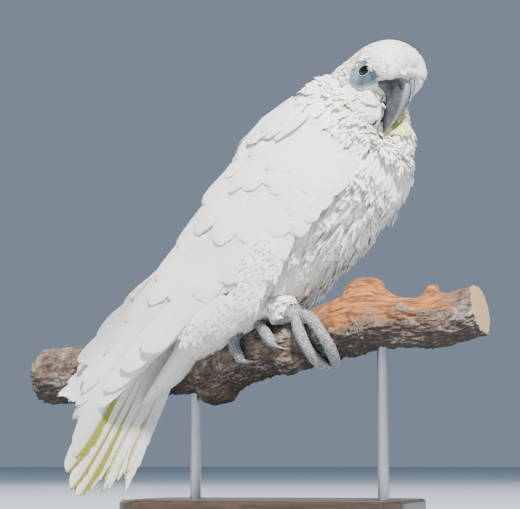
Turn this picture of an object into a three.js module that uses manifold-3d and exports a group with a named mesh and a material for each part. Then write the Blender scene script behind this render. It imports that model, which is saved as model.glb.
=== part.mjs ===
// A life-size museum model of a white (umbrella) cockatoo that grips a short length of branch,
// held up by a flat base and two short rods. Millimetres, +Z up. The bird faces +X, its left
// side is +Y, and the origin is the middle of the base's underside.
import * as THREE from "three";
import { mergeVertices } from "three/addons/utils/BufferGeometryUtils.js";
import Module from "manifold-3d";

const wasm = await Module();
wasm.setup();

// ---- Driving dimensions -------------------------------------------------------------------
const GAP = 0.3; // clearance between neighbouring bodies
const FINEST = 0.14; // finest relief kept on a body that is cut to its neighbours

// Neck and trunk: the middle of each cross-section, then its reach to the breast, the back,
// the bird's right and its left, from inside the head down to the root of the tail.
const BODY_STATIONS = [
  [92, -18, 361, 12, 12, 12, 12],
  [87, -14, 350, 30, 27, 25, 26],
  [75, -4, 333, 50, 41, 29, 33],
  [62, 0, 318, 63, 48, 42, 43],
  [36, 0, 285, 69, 55, 51, 51],
  [8.5, 0, 245, 63, 57, 52, 52],
  [-19, 0, 204, 51, 52, 46, 46],
  [-42, 0, 169.5, 28, 42, 35, 35],
  [-62, 0, 146, 14, 26, 24, 24],
  [-77, 0, 131, 4, 12, 12, 12],
];
const BODY_SQUARENESS = 2.2;
const NECK_ENDS_AT = 3; // station where the neck gives way to the trunk

// Under-tail feathers, in the same terms as the body.
const VENT_STATIONS = [
  [-62, 0, 156, 9, 9, 18, 18],
  [-72, 0, 144, 12, 9, 21, 21],
  [-86, -2, 125, 11, 5, 17, 17],
  [-98, -4, 110, 7, 3, 13, 13],
  [-107, -6, 98, 2, 2, 4, 4],
];

// Head, in its own frame: x forward, y left, z up from a point between the eyes.
const HEAD_PLACE = new THREE.Vector3(89, -16, 360.8);
const HEAD_TURN = THREE.MathUtils.degToRad(-30); // to the bird's right
const HEAD_NOD = THREE.MathUtils.degToRad(23); // bill down
// Distance forward, height of the crown line, of the throat line, and half-width.
const HEAD_STATIONS = [
  [-38, -17, -30, 13],
  [-33, -9, -32, 19],
  [-25, 1, -33, 23.5],
  [-15, 11, -32, 25.5],
  [-6, 20.5, -31, 26.5],
  [4, 27, -29, 26.5],
  [13, 29.5, -26, 26.5],
  [21, 29, -22, 26.3],
  [27, 26, -18, 25.5],
  [32, 21, -13, 23.5],
  [36, 13.5, -8, 18.5],
  [38, 7, -3, 11],
];
const HEAD_SQUARENESS = 2.4;
const CHEEK_PLACE = new THREE.Vector3(12, 15, -26);
const CHEEK_REACH = new THREE.Vector3(17, 12, 14);
const EYE_PLACE = new THREE.Vector3(7.6, 21.8, 1);
const EYE_RADIUS = 4.8;
const EYE_RING_RADIUS = 5.8;
const EYE_RING_THICKNESS = 1.1;

// Bill: the ridge and the inner edge of the upper half, paired, with the half-width there.
const BILL_UPPER = [
  [26, 4, 18, -8, 12],
  [32, 3, 19.5, -11.5, 13],
  [35.6, -1.5, 21, -15.5, 12.2],
  [37.4, -9, 22.4, -20, 10.2],
  [36.9, -18, 23, -26, 8],
  [34.4, -26.5, 23, -32, 5.8],
  [31, -35, 23.2, -38, 3.6],
  [26.8, -43, 24.6, -42.6, 1],
];
const BILL_LOWER = [
  [8, -12, 6, -20, 9],
  [13, -15, 9, -27, 10],
  [16.5, -20, 12.5, -33, 9],
  [19, -26, 16.5, -36, 7],
  [20.5, -32, 19.5, -36.5, 4],
];

// Folded crest: broad plumes that lie back over the crown to the nape, one shell on the head.
const CREST_FROM = 16; // distance forward where it starts, in the head's frame
const CREST_TO = -27; // and where its tips end
const CREST_HALF_ANGLE = THREE.MathUtils.degToRad(24); // how far round the crown it reaches
const CREST_THICKNESS = [0.6, 1.6]; // how far it stands off the head, at its root and tips

// Folded wing, laid out in the bird's middle plane from the wrist: distance towards the tip,
// lower edge, upper edge, and how far the feathers stand from that plane.
const WRIST = new THREE.Vector2(56, 302.6);
const WING_TIP = new THREE.Vector2(-154, 81.5);
const WING_STATIONS = [
  [-5, -4, 8, 40],
  [2, -13, 26, 44],
  [12, -19, 38, 50],
  [26, -27, 48, 55],
  [44, -35, 53, 58],
  [60, -38, 55, 58],
  [80, -34, 55, 57],
  [105, -31, 54.5, 55],
  [135, -32, 49, 51],
  [158, -18, 45, 48],
  [180, -9, 44, 44],
  [200, 0, 42, 40],
  [230, 1, 37, 33],
  [262, 1, 30, 26],
  [284, 1, 24, 21],
  [299, 0, 15, 18],
  [306, 1, 5, 17],
];
const WING_ROOF = 2.3; // squareness of the folded wing's arch over the back
const WING_THICKNESS = [7, 1.8]; // at the wrist and at the tip
const WING_OVER_BODY = 5; // how far a wing stands off the trunk
const PRIMARIES_START = 176; // distance from the wrist where the long flight feathers show
const LEFT_WING_LIFT = THREE.MathUtils.degToRad(6); // the left wing is held a little higher
const LEFT_WING_SLIP = 6; // and further back

// Tail of twelve feathers, fanned a little and rolled towards the bird's left.
const TAIL_FEATHERS = 12;
const TAIL_ROOT = new THREE.Vector3(-92, 0, 157);
const TAIL_TIP = new THREE.Vector3(-158, -28, 22);
const TAIL_WIDTH = [34, 58]; // at the root and near the tips
const TAIL_ROLL = THREE.MathUtils.degToRad(38);
const TAIL_THICKNESS = [5, 1.6];
const TAIL_OUTER_SHORTER = 13; // the outermost feathers fall this far short
const TAIL_POINT = 9; // length of each feather's pointed end

// Branch: the middle of each cross-section and its radius.
const PERCH_STATIONS = [
  [-232, 101, 124, 23.5],
  [-192, 84, 124.6, 24],
  [-122, 52, 128, 22.5],
  [-76, 32, 128.4, 22.5],
  [-50, 20, 127.4, 22.5],
  [-30, 11, 133, 20.5],
  [-5, -1, 138.5, 20],
  [23, -13, 143.5, 20.5],
  [50, -22, 151.5, 22.5],
  [68, -27, 156.5, 24],
  [85, -30, 160.5, 24.5],
  [110, -36, 158, 20],
  [142, -42, 158, 20],
  [175, -49, 165, 18.5],
];
const PERCH_KNOBS = [
  [84, -28, 179, 9],
  [139, -38, 173, 8],
  [-52, 16, 108, 9],
];
const PERCH_SIDES = 14;

// Feet: each toe runs over the branch from the pad, given as distance along X and angle round
// the branch from its top towards the bird's right.
const TOE_RADIUS = [4.7, 3.7];
const TOE_LIFT = 0.8; // the pads stand this far off the bark
const CLAW_RADIUS = 2.7;
const TOES = {
  right: {
    pad: [31, 50],
    ankle: [13, -27, 163],
    toes: [
      [[31, 50], [31, 88], [35, 132], [41, 174]],
      [[31, 50], [43, 72], [51, 124], [50, 172]],
      [[31, 50], [29, 22], [28, -12], [29, -42]],
      [[31, 50], [22, 26], [15, -6], [11, -36]],
    ],
    claws: [[44, 202], [48, 200], [30, -66], [10, -60]],
  },
  left: {
    pad: [-14, -8],
    ankle: [-16, 8, 170],
    toes: [
      [[-14, -8], [-8, 30], [-1, 62], [6, 92]],
      [[-14, -8], [-22, 32], [-29, 72], [-24, 108]],
      [[-14, -8], [-19, -42], [-23, -76], [-24, -106]],
      [[-14, -8], [-7, -42], [-2, -76], [0, -102]],
    ],
    claws: [[17, 108], [-6, 118], [-24, -130], [1, -126]],
  },
};
const TARSUS_RADIUS = 5.6;
const PAD_RADIUS = 6.4;
const THIGH_TOP = { right: [8, -24, 184], left: [-17, 20, 180] };
const THIGH_RADIUS = [22, 10];

// Stand.
const BASE_LENGTH = 230;
const BASE_WIDTH = 150;
const BASE_THICKNESS = 18;
const BASE_CORNER = 24;
const BASE_EDGE = 2;
const ROD_RADIUS = 4.5;
const ROD_X = [-76, 95];
const ROD_SINK = 6; // depth of each rod's socket in the base and in the branch

// ---- Helpers ------------------------------------------------------------------------------

// Smooth value of a table at a fractional row: a Catmull-Rom curve through every column.
function alongTable(table, at) {
  const last = table.length - 1;
  const row = Math.min(Math.floor(at), last - 1);
  const t = at - row;
  const pick = (i) => table[Math.min(Math.max(i, 0), last)];
  return table[0].map((_, column) => {
    const [a, b, c, d] = [row - 1, row, row + 1, row + 2].map((i) => pick(i)[column]);
    return b + 0.5 * t * (c - a + t * (2 * a - 5 * b + 4 * c - d + t * (3 * (b - c) + d - a)));
  });
}

// The row of a table, as a fraction, at which its first column reaches a value.
function rowAt(table, value) {
  let row = 0;
  while (row < table.length - 2 && value > table[row + 1][0]) row += 1;
  return row + (value - table[row][0]) / (table[row + 1][0] - table[row][0]);
}

// A superellipse's x and y for an angle: cosine and sine raised to the power 2 / squareness.
function superellipse(angle, squareness) {
  const power = (v) => Math.sign(v) * Math.abs(v) ** (2 / squareness);
  return [power(Math.cos(angle)), power(Math.sin(angle))];
}

// A closed geometry from rings of points: ring joins ring, and a point closes each end.
function bodyOfRings(rings) {
  const sides = rings[0].length;
  const middle = (ring) =>
    ring.reduce((sum, p) => sum.add(p), new THREE.Vector3()).divideScalar(sides);
  const points = [...rings.flat(), middle(rings[0]), middle(rings.at(-1))];
  const first = rings.length * sides;
  const faces = [];
  for (let i = 0; i < rings.length - 1; i += 1)
    for (let j = 0; j < sides; j += 1) {
      const [a, b] = [i * sides + j, i * sides + ((j + 1) % sides)];
      faces.push(a, b, b + sides, a, b + sides, a + sides);
    }
  for (let j = 0; j < sides; j += 1) {
    const next = (j + 1) % sides;
    const end = (rings.length - 1) * sides;
    faces.push(first, next, j, first + 1, end + j, end + next);
  }
  return closedGeometry(points, faces);
}

// Points and faces as a geometry whose faces all point outwards.
function closedGeometry(points, faces) {
  let volume = 0;
  for (let i = 0; i < faces.length; i += 3) {
    const [a, b, c] = [faces[i], faces[i + 1], faces[i + 2]].map((k) => points[k]);
    volume += a.dot(b.clone().cross(c));
  }
  if (volume < 0)
    for (let i = 0; i < faces.length; i += 3)
      [faces[i + 1], faces[i + 2]] = [faces[i + 2], faces[i + 1]];
  const geometry = new THREE.BufferGeometry().setFromPoints(points);
  geometry.setIndex(faces);
  return geometry;
}

function solidOf(geometry) {
  const bare = geometry.clone();
  bare.deleteAttribute("normal");
  bare.deleteAttribute("uv");
  const merged = mergeVertices(bare, 1e-4);
  return new wasm.Manifold(
    new wasm.Mesh({
      numProp: 3,
      vertProperties: merged.attributes.position.array,
      triVerts: new Uint32Array(merged.index.array),
    }),
  );
}

function geometryOf(solid) {
  const mesh = solid.getMesh();
  const geometry = new THREE.BufferGeometry();
  const position = new THREE.BufferAttribute(mesh.vertProperties, 3);
  geometry.setAttribute("position", position);
  geometry.setIndex(new THREE.BufferAttribute(mesh.triVerts, 1));
  geometry.computeVertexNormals();
  return geometry;
}

// The largest single body of a solid: a cut can leave crumbs.
function mainBody(solid) {
  const bodies = solid.decompose();
  return bodies.reduce((most, body) => (body.volume() > most.volume() ? body : most));
}

// Cuts tools out of a solid, and drops facets too small to see.
function carve(solid, ...tools) {
  return mainBody(tools.reduce((left, tool) => left.subtract(tool), solid).simplify(FINEST));
}

const join = (...solids) => solids.reduce((all, solid) => all.add(solid));

// A round tube through points, with a radius that runs smoothly through a list.
function tube(points, radii, sides, steps) {
  const curve = new THREE.CatmullRomCurve3(points, false, "centripetal");
  const frames = curve.computeFrenetFrames(steps, false);
  const rings = [];
  for (let i = 0; i <= steps; i += 1) {
    const centre = curve.getPointAt(i / steps);
    const [radius] = alongTable(radii.map((r) => [r]), (i / steps) * (radii.length - 1));
    rings.push(
      Array.from({ length: sides }, (_, j) => {
        const angle = (2 * Math.PI * j) / sides;
        return centre
          .clone()
          .addScaledVector(frames.normals[i], radius * Math.cos(angle))
          .addScaledVector(frames.binormals[i], radius * Math.sin(angle));
      }),
    );
  }
  return solidOf(bodyOfRings(rings));
}

// A closed sheet between two faces, each given by pointAt(share along, share across, face).
function slab(pointAt, along, across) {
  const row = across + 1;
  const face = (along + 1) * row;
  const points = [];
  for (const side of [0, 1])
    for (let i = 0; i <= along; i += 1)
      for (let j = 0; j <= across; j += 1) points.push(pointAt(i / along, j / across, side));
  const faces = [];
  const quad = (a, b, c, d) => faces.push(a, b, c, a, c, d);
  for (let i = 0; i < along; i += 1) {
    for (let j = 0; j < across; j += 1) {
      const a = i * row + j;
      quad(a, a + row, a + row + 1, a + 1);
      quad(face + a, face + a + 1, face + a + row + 1, face + a + row);
    }
    const [low, high] = [i * row, i * row + across];
    quad(low, face + low, face + low + row, low + row);
    quad(high, high + row, face + high + row, face + high);
  }
  for (let j = 0; j < across; j += 1) {
    const end = along * row + j;
    quad(j, j + 1, face + j + 1, face + j);
    quad(end, face + end, face + end + 1, end + 1);
  }
  return solidOf(closedGeometry(points, faces));
}

function meshOf(name, solid, material) {
  const mesh = new THREE.Mesh(geometryOf(solid), material);
  mesh.name = name;
  return mesh;
}

// ---- Body ---------------------------------------------------------------------------------

// The cross-section frame of a station table: middle, direction towards the breast, reaches.
function sectionAt(table, at) {
  const [x, y, z, breast, back, right, left] = alongTable(table, at);
  const step = 0.02;
  const low = alongTable(table, Math.max(at - step, 0));
  const high = alongTable(table, Math.min(at + step, table.length - 1));
  const run = new THREE.Vector2(high[0] - low[0], high[2] - low[2]).normalize();
  const middle = new THREE.Vector3(x, y, z);
  const front = new THREE.Vector3(-run.y, 0, run.x);
  return { middle, front, breast, back, right, left };
}

function bodyLoft(table, steps, sides, grow = 0) {
  const rings = [];
  for (let i = 0; i <= steps; i += 1) {
    const s = sectionAt(table, (i / steps) * (table.length - 1));
    rings.push(
      Array.from({ length: sides }, (_, j) => {
        const [c, w] = superellipse((2 * Math.PI * j) / sides, BODY_SQUARENESS);
        const forward = c * ((c > 0 ? s.breast : s.back) + grow);
        const sideways = w * ((w > 0 ? s.left : s.right) + grow);
        return s.middle
          .clone()
          .addScaledVector(s.front, forward)
          .add(new THREE.Vector3(0, sideways, 0));
      }),
    );
  }
  return solidOf(bodyOfRings(rings));
}

// Half the trunk's breadth at a place in the middle plane, 0 outside it: the section through
// that place is found, and the superellipse gives the breadth.
function trunkBreadth(x, z) {
  let best = null;
  for (let at = NECK_ENDS_AT - 1; at <= BODY_STATIONS.length - 1; at += 0.04) {
    const s = sectionAt(BODY_STATIONS, at);
    const [dx, dz] = [x - s.middle.x, z - s.middle.z];
    const along = Math.abs(dx * s.front.z - dz * s.front.x);
    if (!best || along < best.along) best = { along, s, out: dx * s.front.x + dz * s.front.z };
  }
  const reach = best.out > 0 ? best.s.breast : best.s.back;
  const share = Math.abs(best.out / reach) ** BODY_SQUARENESS;
  return share >= 1 ? 0 : best.s.left * (1 - share) ** (1 / BODY_SQUARENESS);
}

// ---- Head ---------------------------------------------------------------------------------

const headFrame = new THREE.Matrix4()
  .makeRotationZ(HEAD_TURN)
  .multiply(new THREE.Matrix4().makeRotationY(HEAD_NOD))
  .setPosition(HEAD_PLACE);

const inRow = (solid) => solid.transform(headFrame.elements.slice());

// A point of the head's surface: station row, angle from the crown towards the left, and how
// far off the surface it lies.
function headPoint(row, angle, grow) {
  const [x, crown, throat, half] = alongTable(HEAD_STATIONS, row);
  const [c, w] = superellipse(angle, HEAD_SQUARENESS);
  const up = (crown + throat) / 2 + c * ((crown - throat) / 2 + grow);
  return new THREE.Vector3(x, w * (half + grow), up);
}

function headSolid(grow = 0) {
  const steps = 11;
  const sides = 14;
  const rings = [];
  for (let i = 0; i <= steps; i += 1) {
    const row = (i / steps) * (HEAD_STATIONS.length - 1);
    const bulge = i === 0 ? -grow : i === steps ? grow : 0;
    rings.push(
      Array.from({ length: sides }, (_, j) => {
        const point = headPoint(row, (2 * Math.PI * j) / sides, grow);
        return point.add(new THREE.Vector3(bulge, 0, 0));
      }),
    );
  }
  const cheeks = [-1, 1].map((side) => cheekSolid(side, grow));
  return inRow(join(solidOf(bodyOfRings(rings)), ...cheeks));
}

function cheekSolid(side, grow) {
  const ball = new THREE.SphereGeometry(1, 10, 6);
  ball.scale(CHEEK_REACH.x + grow, CHEEK_REACH.y + grow, CHEEK_REACH.z + grow);
  ball.translate(CHEEK_PLACE.x, side * CHEEK_PLACE.y, CHEEK_PLACE.z);
  return solidOf(ball);
}

function eyeSolid(side, grow = 0) {
  const ball = new THREE.SphereGeometry(EYE_RADIUS + grow, 12, 7);
  ball.translate(EYE_PLACE.x, side * EYE_PLACE.y, EYE_PLACE.z);
  return inRow(solidOf(ball));
}

// Where the eye's ring lies across the head.
const ringDepth = EYE_PLACE.y + EYE_RADIUS * 0.5;

function eyeRingSolid(side) {
  const ring = new THREE.TorusGeometry(EYE_RING_RADIUS, EYE_RING_THICKNESS, 5, 12);
  ring.rotateX(Math.PI / 2);
  ring.translate(EYE_PLACE.x, side * ringDepth, EYE_PLACE.z);
  return inRow(solidOf(ring));
}

// The shallow round recess in the head that the eye's ring sits in, open to the outside.
function eyeRecess(side) {
  const radius = EYE_RING_RADIUS + EYE_RING_THICKNESS + GAP;
  const back = ringDepth - EYE_RING_THICKNESS - GAP;
  const recess = new THREE.CylinderGeometry(radius, radius, 12, 12);
  recess.translate(EYE_PLACE.x, side * (back + 6), EYE_PLACE.z);
  return inRow(solidOf(recess));
}

// Half a bill: sections between a ridge and an inner edge, rounder on the ridge side.
function billSolid(table, grow = 0) {
  const steps = 8;
  const sides = 10;
  const rings = [];
  for (let i = 0; i <= steps; i += 1) {
    const [rx, rz, ix, iz, half] = alongTable(table, (i / steps) * (table.length - 1));
    const ridge = new THREE.Vector3(rx, 0, rz);
    const inner = new THREE.Vector3(ix, 0, iz);
    const reach = ridge.clone().sub(inner).multiplyScalar(0.5);
    const middle = ridge.clone().add(inner).multiplyScalar(0.5);
    rings.push(
      Array.from({ length: sides }, (_, j) => {
        const angle = (2 * Math.PI * j) / sides;
        const [c, w] = [Math.cos(angle), Math.sin(angle)];
        return middle
          .clone()
          .addScaledVector(reach, c * (1 + grow / reach.length()))
          .add(new THREE.Vector3(0, w * (half + grow), 0));
      }),
    );
  }
  return inRow(solidOf(bodyOfRings(rings)));
}

function crestSolid(grow = 0) {
  const from = rowAt(HEAD_STATIONS, CREST_FROM + grow);
  const to = rowAt(HEAD_STATIONS, CREST_TO - grow);
  const place = (along, across, face) => {
    const widest = Math.sin(Math.PI * Math.min(1, 1.3 * along));
    const spread = CREST_HALF_ANGLE * (0.45 + 0.55 * widest) + grow / 20;
    const lift = CREST_THICKNESS[0] + (CREST_THICKNESS[1] - CREST_THICKNESS[0]) * along;
    const off = face === 0 ? lift + grow : -1 - grow;
    return headPoint(from + (to - from) * along, spread * (2 * across - 1), off);
  };
  return inRow(slab(place, 7, 4));
}

// ---- Wings --------------------------------------------------------------------------------

const wingRun = WING_TIP.clone().sub(WRIST).normalize();
const wingUp = new THREE.Vector2(wingRun.y, -wingRun.x);
const lastWing = WING_STATIONS.length - 1;

// A point of the folded right wing: station row, share from lower to upper edge, and how deep
// under the outer face it lies. The wing arches over the back and hugs the trunk's flank.
function wingPoint(row, share, depth) {
  const [p, low, high, stand] = alongTable(WING_STATIONS, row);
  const q = low + share * (high - depth - low);
  const middle = Math.min(0, (low + high) / 2 - 20);
  const arch = 1 - Math.abs((q - middle) / (high + 4 - depth - middle)) ** WING_ROOF;
  const roof = 3 + (stand - depth) * Math.max(arch, 0) ** (1 / WING_ROOF);
  const place = WRIST.clone().addScaledVector(wingRun, p).addScaledVector(wingUp, q);
  const hug = trunkBreadth(place.x, place.y);
  const out = Math.max(roof, hug > 0 ? hug + WING_OVER_BODY - depth : 0, 1.2);
  return new THREE.Vector3(place.x, -out, place.y);
}

function wingSolid() {
  const thick = (along) => WING_THICKNESS[0] + (WING_THICKNESS[1] - WING_THICKNESS[0]) * along;
  const place = (along, across, face) => wingPoint(along * lastWing, across, face * thick(along));
  return slab(place, 18, 5);
}

// The left wing: the right one mirrored, and turned up about the wrist.
function mirrored(solid) {
  const place = new THREE.Matrix4().makeTranslation(WRIST.x, 0, WRIST.y);
  const turn = new THREE.Matrix4().makeRotationY(LEFT_WING_LIFT);
  const back = new THREE.Matrix4().makeTranslation(-WRIST.x, 0, -WRIST.y);
  const slip = wingRun.clone().multiplyScalar(LEFT_WING_SLIP);
  const shift = new THREE.Matrix4().makeTranslation(slip.x, 0, slip.y);
  const lift = shift.multiply(place).multiply(turn).multiply(back);
  return solid.mirror([0, 1, 0]).transform(lift.elements.slice());
}

// Parts a solid by a plane across the wing, with the usual gap between the two pieces.
function partedWing(solid) {
  const cut = wingRun.dot(WRIST) + PRIMARIES_START;
  const normal = [wingRun.x, 0, wingRun.y];
  return {
    arm: solid.trimByPlane(normal.map((v) => -v), -cut + GAP / 2),
    primaries: solid.trimByPlane(normal, cut + GAP / 2),
  };
}

// ---- Tail ---------------------------------------------------------------------------------

const tailRun = TAIL_TIP.clone().sub(TAIL_ROOT).normalize();
const tailBelow = new THREE.Vector3(1, 0, 0).projectOnPlane(tailRun).normalize();
const tailSide = tailBelow.clone().cross(tailRun).normalize();
const tailAcross = tailSide
  .clone()
  .multiplyScalar(Math.cos(TAIL_ROLL))
  .addScaledVector(tailBelow, Math.sin(TAIL_ROLL));
const tailNormal = tailRun.clone().cross(tailAcross).normalize();

// A point of the fanned tail: share of its length, share across, and upper or lower face. Each
// feather runs out to a point of its own, and the outer ones are shorter.
function tailPoint(along, across, face, grow) {
  const k = 2 * across - 1;
  const phase = Math.abs(2 * ((across * TAIL_FEATHERS) % 1) - 1);
  const width = TAIL_WIDTH[0] + (TAIL_WIDTH[1] - TAIL_WIDTH[0]) * Math.sqrt(along);
  const thick = TAIL_THICKNESS[0] + (TAIL_THICKNESS[1] - TAIL_THICKNESS[0]) * along;
  const short = along ** 3 * (TAIL_OUTER_SHORTER * k * k + TAIL_POINT * phase ** 2);
  const lift = 4 * along * k * k + (face - 0.5) * (thick + 2 * grow);
  return TAIL_ROOT.clone()
    .lerp(TAIL_TIP, along)
    .addScaledVector(tailRun, -short + (2 * along - 1) * grow)
    .addScaledVector(tailAcross, k * (width / 2 + grow))
    .addScaledVector(tailNormal, lift);
}

function tailSolid(grow = 0) {
  const place = (along, across, face) => tailPoint(along, across, face, grow);
  return slab(place, 5, 2 * TAIL_FEATHERS);
}

// ---- Branch and feet ----------------------------------------------------------------------

// The branch's middle at a distance along X, its radius there, and the directions that are
// level across it and up out of it.
function perchAt(x) {
  const [low, here, high] = [x - 4, x, x + 4].map((at) => {
    const [px, y, z, radius] = alongTable(PERCH_STATIONS, rowAt(PERCH_STATIONS, at));
    return { centre: new THREE.Vector3(px, y, z), radius };
  });
  const run = high.centre.clone().sub(low.centre).normalize();
  const side = new THREE.Vector3(0, 0, 1).cross(run).normalize();
  return { ...here, side, up: run.cross(side) };
}

function perchSolid(grow = 0) {
  const centres = PERCH_STATIONS.map(([x, y, z]) => new THREE.Vector3(x, y, z));
  const radii = PERCH_STATIONS.map((station) => station[3] + grow);
  const curve = new THREE.CatmullRomCurve3(centres);
  const steps = 16;
  const rings = [];
  for (let i = 0; i <= steps; i += 1) {
    const t = i / steps;
    const centre = curve.getPoint(t);
    const run = curve.getTangent(t);
    const side = new THREE.Vector3(0, 0, 1).cross(run).normalize();
    const up = run.clone().cross(side);
    const [radius] = alongTable(radii.map((r) => [r]), t * (radii.length - 1));
    rings.push(
      Array.from({ length: PERCH_SIDES }, (_, j) => {
        const angle = (2 * Math.PI * j) / PERCH_SIDES;
        return centre
          .clone()
          .addScaledVector(up, radius * Math.cos(angle))
          .addScaledVector(side, radius * Math.sin(angle));
      }),
    );
  }
  const knobs = PERCH_KNOBS.map(([x, y, z, radius]) => {
    const ball = new THREE.SphereGeometry(radius + grow, 8, 5);
    return solidOf(ball.translate(x, y, z));
  });
  return join(solidOf(bodyOfRings(rings)), ...knobs);
}

// A point on the branch: distance along X, angle from the top towards the bird's right, and
// height off the bark.
function onPerch(x, degrees, height) {
  const angle = THREE.MathUtils.degToRad(degrees);
  const first = perchAt(x);
  const shift = (first.radius + height) * Math.sin(angle) * first.side.x;
  const { centre, radius, side, up } = perchAt(x + shift);
  return centre
    .addScaledVector(side, -(radius + height) * Math.sin(angle))
    .addScaledVector(up, (radius + height) * Math.cos(angle));
}

function toeSolid(foot, index, grow = 0) {
  return tube(toePath(foot, index), TOE_RADIUS.map((r) => r + grow), 6, 5);
}

// The middle line of a toe, which hugs the round of the branch.
function toePath(foot, index) {
  const stops = foot.toes[index];
  return Array.from({ length: 8 }, (_, i) => {
    const t = i / 7;
    const [x, angle] = alongTable(stops, t * (stops.length - 1));
    return onPerch(x, angle, TOE_RADIUS[0] + (TOE_RADIUS[1] - TOE_RADIUS[0]) * t + TOE_LIFT);
  });
}

// A claw starts just past its toe's end, bends down and comes to a point near the bark.
function clawSolid(foot, index) {
  const toe = toePath(foot, index);
  const run = toe.at(-1).clone().sub(toe.at(-2)).normalize();
  const start = toe.at(-1).clone().addScaledVector(run, 2 * GAP);
  const [tipX, tipAngle] = foot.claws[index];
  const points = [start, start.clone().addScaledVector(run, 2.5), onPerch(tipX, tipAngle, 1.5)];
  return tube(points, [CLAW_RADIUS, CLAW_RADIUS * 0.8, 0.5], 6, 4);
}

function tarsusSolid(foot, grow = 0) {
  const pad = onPerch(...foot.pad, PAD_RADIUS + 0.6);
  const ankle = new THREE.Vector3(...foot.ankle);
  const bend = ankle.clone().lerp(pad, 0.5).add(new THREE.Vector3(0, 0, 1));
  const ball = new THREE.SphereGeometry(PAD_RADIUS + grow, 8, 6);
  const leg = tube([ankle, bend, pad], [TARSUS_RADIUS + grow, TARSUS_RADIUS + grow], 8, 3);
  return join(leg, solidOf(ball.translate(pad.x, pad.y, pad.z)));
}

function thighSolid(side, grow = 0) {
  const top = new THREE.Vector3(...THIGH_TOP[side]);
  const ankle = new THREE.Vector3(...TOES[side].ankle);
  const low = ankle.clone().lerp(top, -0.12);
  const radii = [THIGH_RADIUS[0] * 0.7, THIGH_RADIUS[0], THIGH_RADIUS[0] * 0.72, THIGH_RADIUS[1]];
  return tube([top, low], radii.map((r) => r + grow), 9, 5);
}

// ---- Stand --------------------------------------------------------------------------------

function baseSolid() {
  const [x, y, r] = [BASE_LENGTH / 2 - BASE_EDGE, BASE_WIDTH / 2 - BASE_EDGE, BASE_CORNER];
  const outline = new THREE.Shape();
  outline.absarc(x - r, y - r, r, 0, Math.PI / 2);
  outline.absarc(-x + r, y - r, r, Math.PI / 2, Math.PI);
  outline.absarc(-x + r, -y + r, r, Math.PI, 1.5 * Math.PI);
  outline.absarc(x - r, -y + r, r, 1.5 * Math.PI, 2 * Math.PI);
  const slab = new THREE.ExtrudeGeometry(outline, {
    depth: BASE_THICKNESS - 2 * BASE_EDGE,
    bevelSize: BASE_EDGE,
    bevelThickness: BASE_EDGE,
    bevelSegments: 1,
    curveSegments: 3,
  });
  return solidOf(slab.translate(0, 0, BASE_EDGE));
}

function rodSolid(x, grow = 0) {
  const { centre, radius } = perchAt(x);
  const low = BASE_THICKNESS - ROD_SINK - grow;
  const high = centre.z - radius + ROD_SINK + grow;
  const rod = new THREE.CylinderGeometry(ROD_RADIUS + grow, ROD_RADIUS + grow, high - low, 16);
  rod.rotateX(Math.PI / 2);
  return solidOf(rod.translate(x, centre.y, (low + high) / 2));
}

// ---- Materials ----------------------------------------------------------------------------

const finish = (color, roughness, metalness = 0) =>
  new THREE.MeshStandardMaterial({ color, roughness, metalness });
const feathers = finish(0xf1efe8, 0.8);
const tailFeathers = finish(0xe9e6b8, 0.75);
const billHorn = finish(0x3b3d42, 0.5);
const clawHorn = finish(0x2b2a2c, 0.4);
const footSkin = finish(0x8e9398, 0.75);
const eyeGlass = finish(0x120d0a, 0.05);
const eyeSkin = finish(0xa9c2d2, 0.6);
const bark = finish(0x7b5a41, 0.9);
const baseWood = finish(0x3a2c22, 0.45);
const steel = finish(0xb9bcc0, 0.3, 1);

// ---- Assembly -----------------------------------------------------------------------------

const group = new THREE.Group();
const show = (name, solid, material) => group.add(meshOf(name, solid, material));

const SIDES = { right: -1, left: 1 };
const perch = perchSolid();
const perchRoom = perchSolid(GAP);
const rodRooms = ROD_X.map((x) => rodSolid(x, GAP));
show("stand_base", carve(baseSolid(), ...rodRooms), baseWood);
ROD_X.forEach((x, i) => show(`stand_rod_${i + 1}`, rodSolid(x), steel));
show("perch", carve(perch, ...rodRooms), bark);

const billUpperRoom = billSolid(BILL_UPPER, GAP);
const billLowerRoom = billSolid(BILL_LOWER, GAP);
const billRooms = [billUpperRoom, billLowerRoom];
show("bill_upper", billSolid(BILL_UPPER), billHorn);
show("bill_lower", carve(billSolid(BILL_LOWER), billUpperRoom), billHorn);

const eyeRooms = [];
for (const [name, side] of Object.entries(SIDES)) {
  show(`eye_${name}`, eyeSolid(side), eyeGlass);
  show(`eye_ring_${name}`, eyeRingSolid(side), eyeSkin);
  eyeRooms.push(eyeSolid(side, GAP), eyeRecess(side));
}

show("crest", carve(crestSolid()), feathers);
show("head", carve(headSolid(), ...eyeRooms, ...billRooms, crestSolid(GAP)), feathers);

const legRooms = [];
for (const [name, foot] of Object.entries(TOES)) {
  const room = tarsusSolid(foot, GAP);
  legRooms.push(room);
  show(`tarsus_${name}`, carve(tarsusSolid(foot), perchRoom), footSkin);
  const toeRooms = [];
  foot.toes.forEach((_, i) => {
    show(`claw_${name}_${i + 1}`, clawSolid(foot, i), clawHorn);
    const toe = carve(toeSolid(foot, i), room, ...toeRooms);
    show(`toe_${name}_${i + 1}`, toe, footSkin);
    toeRooms.push(toeSolid(foot, i, GAP));
    legRooms.push(toeRooms.at(-1));
  });
}

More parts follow.
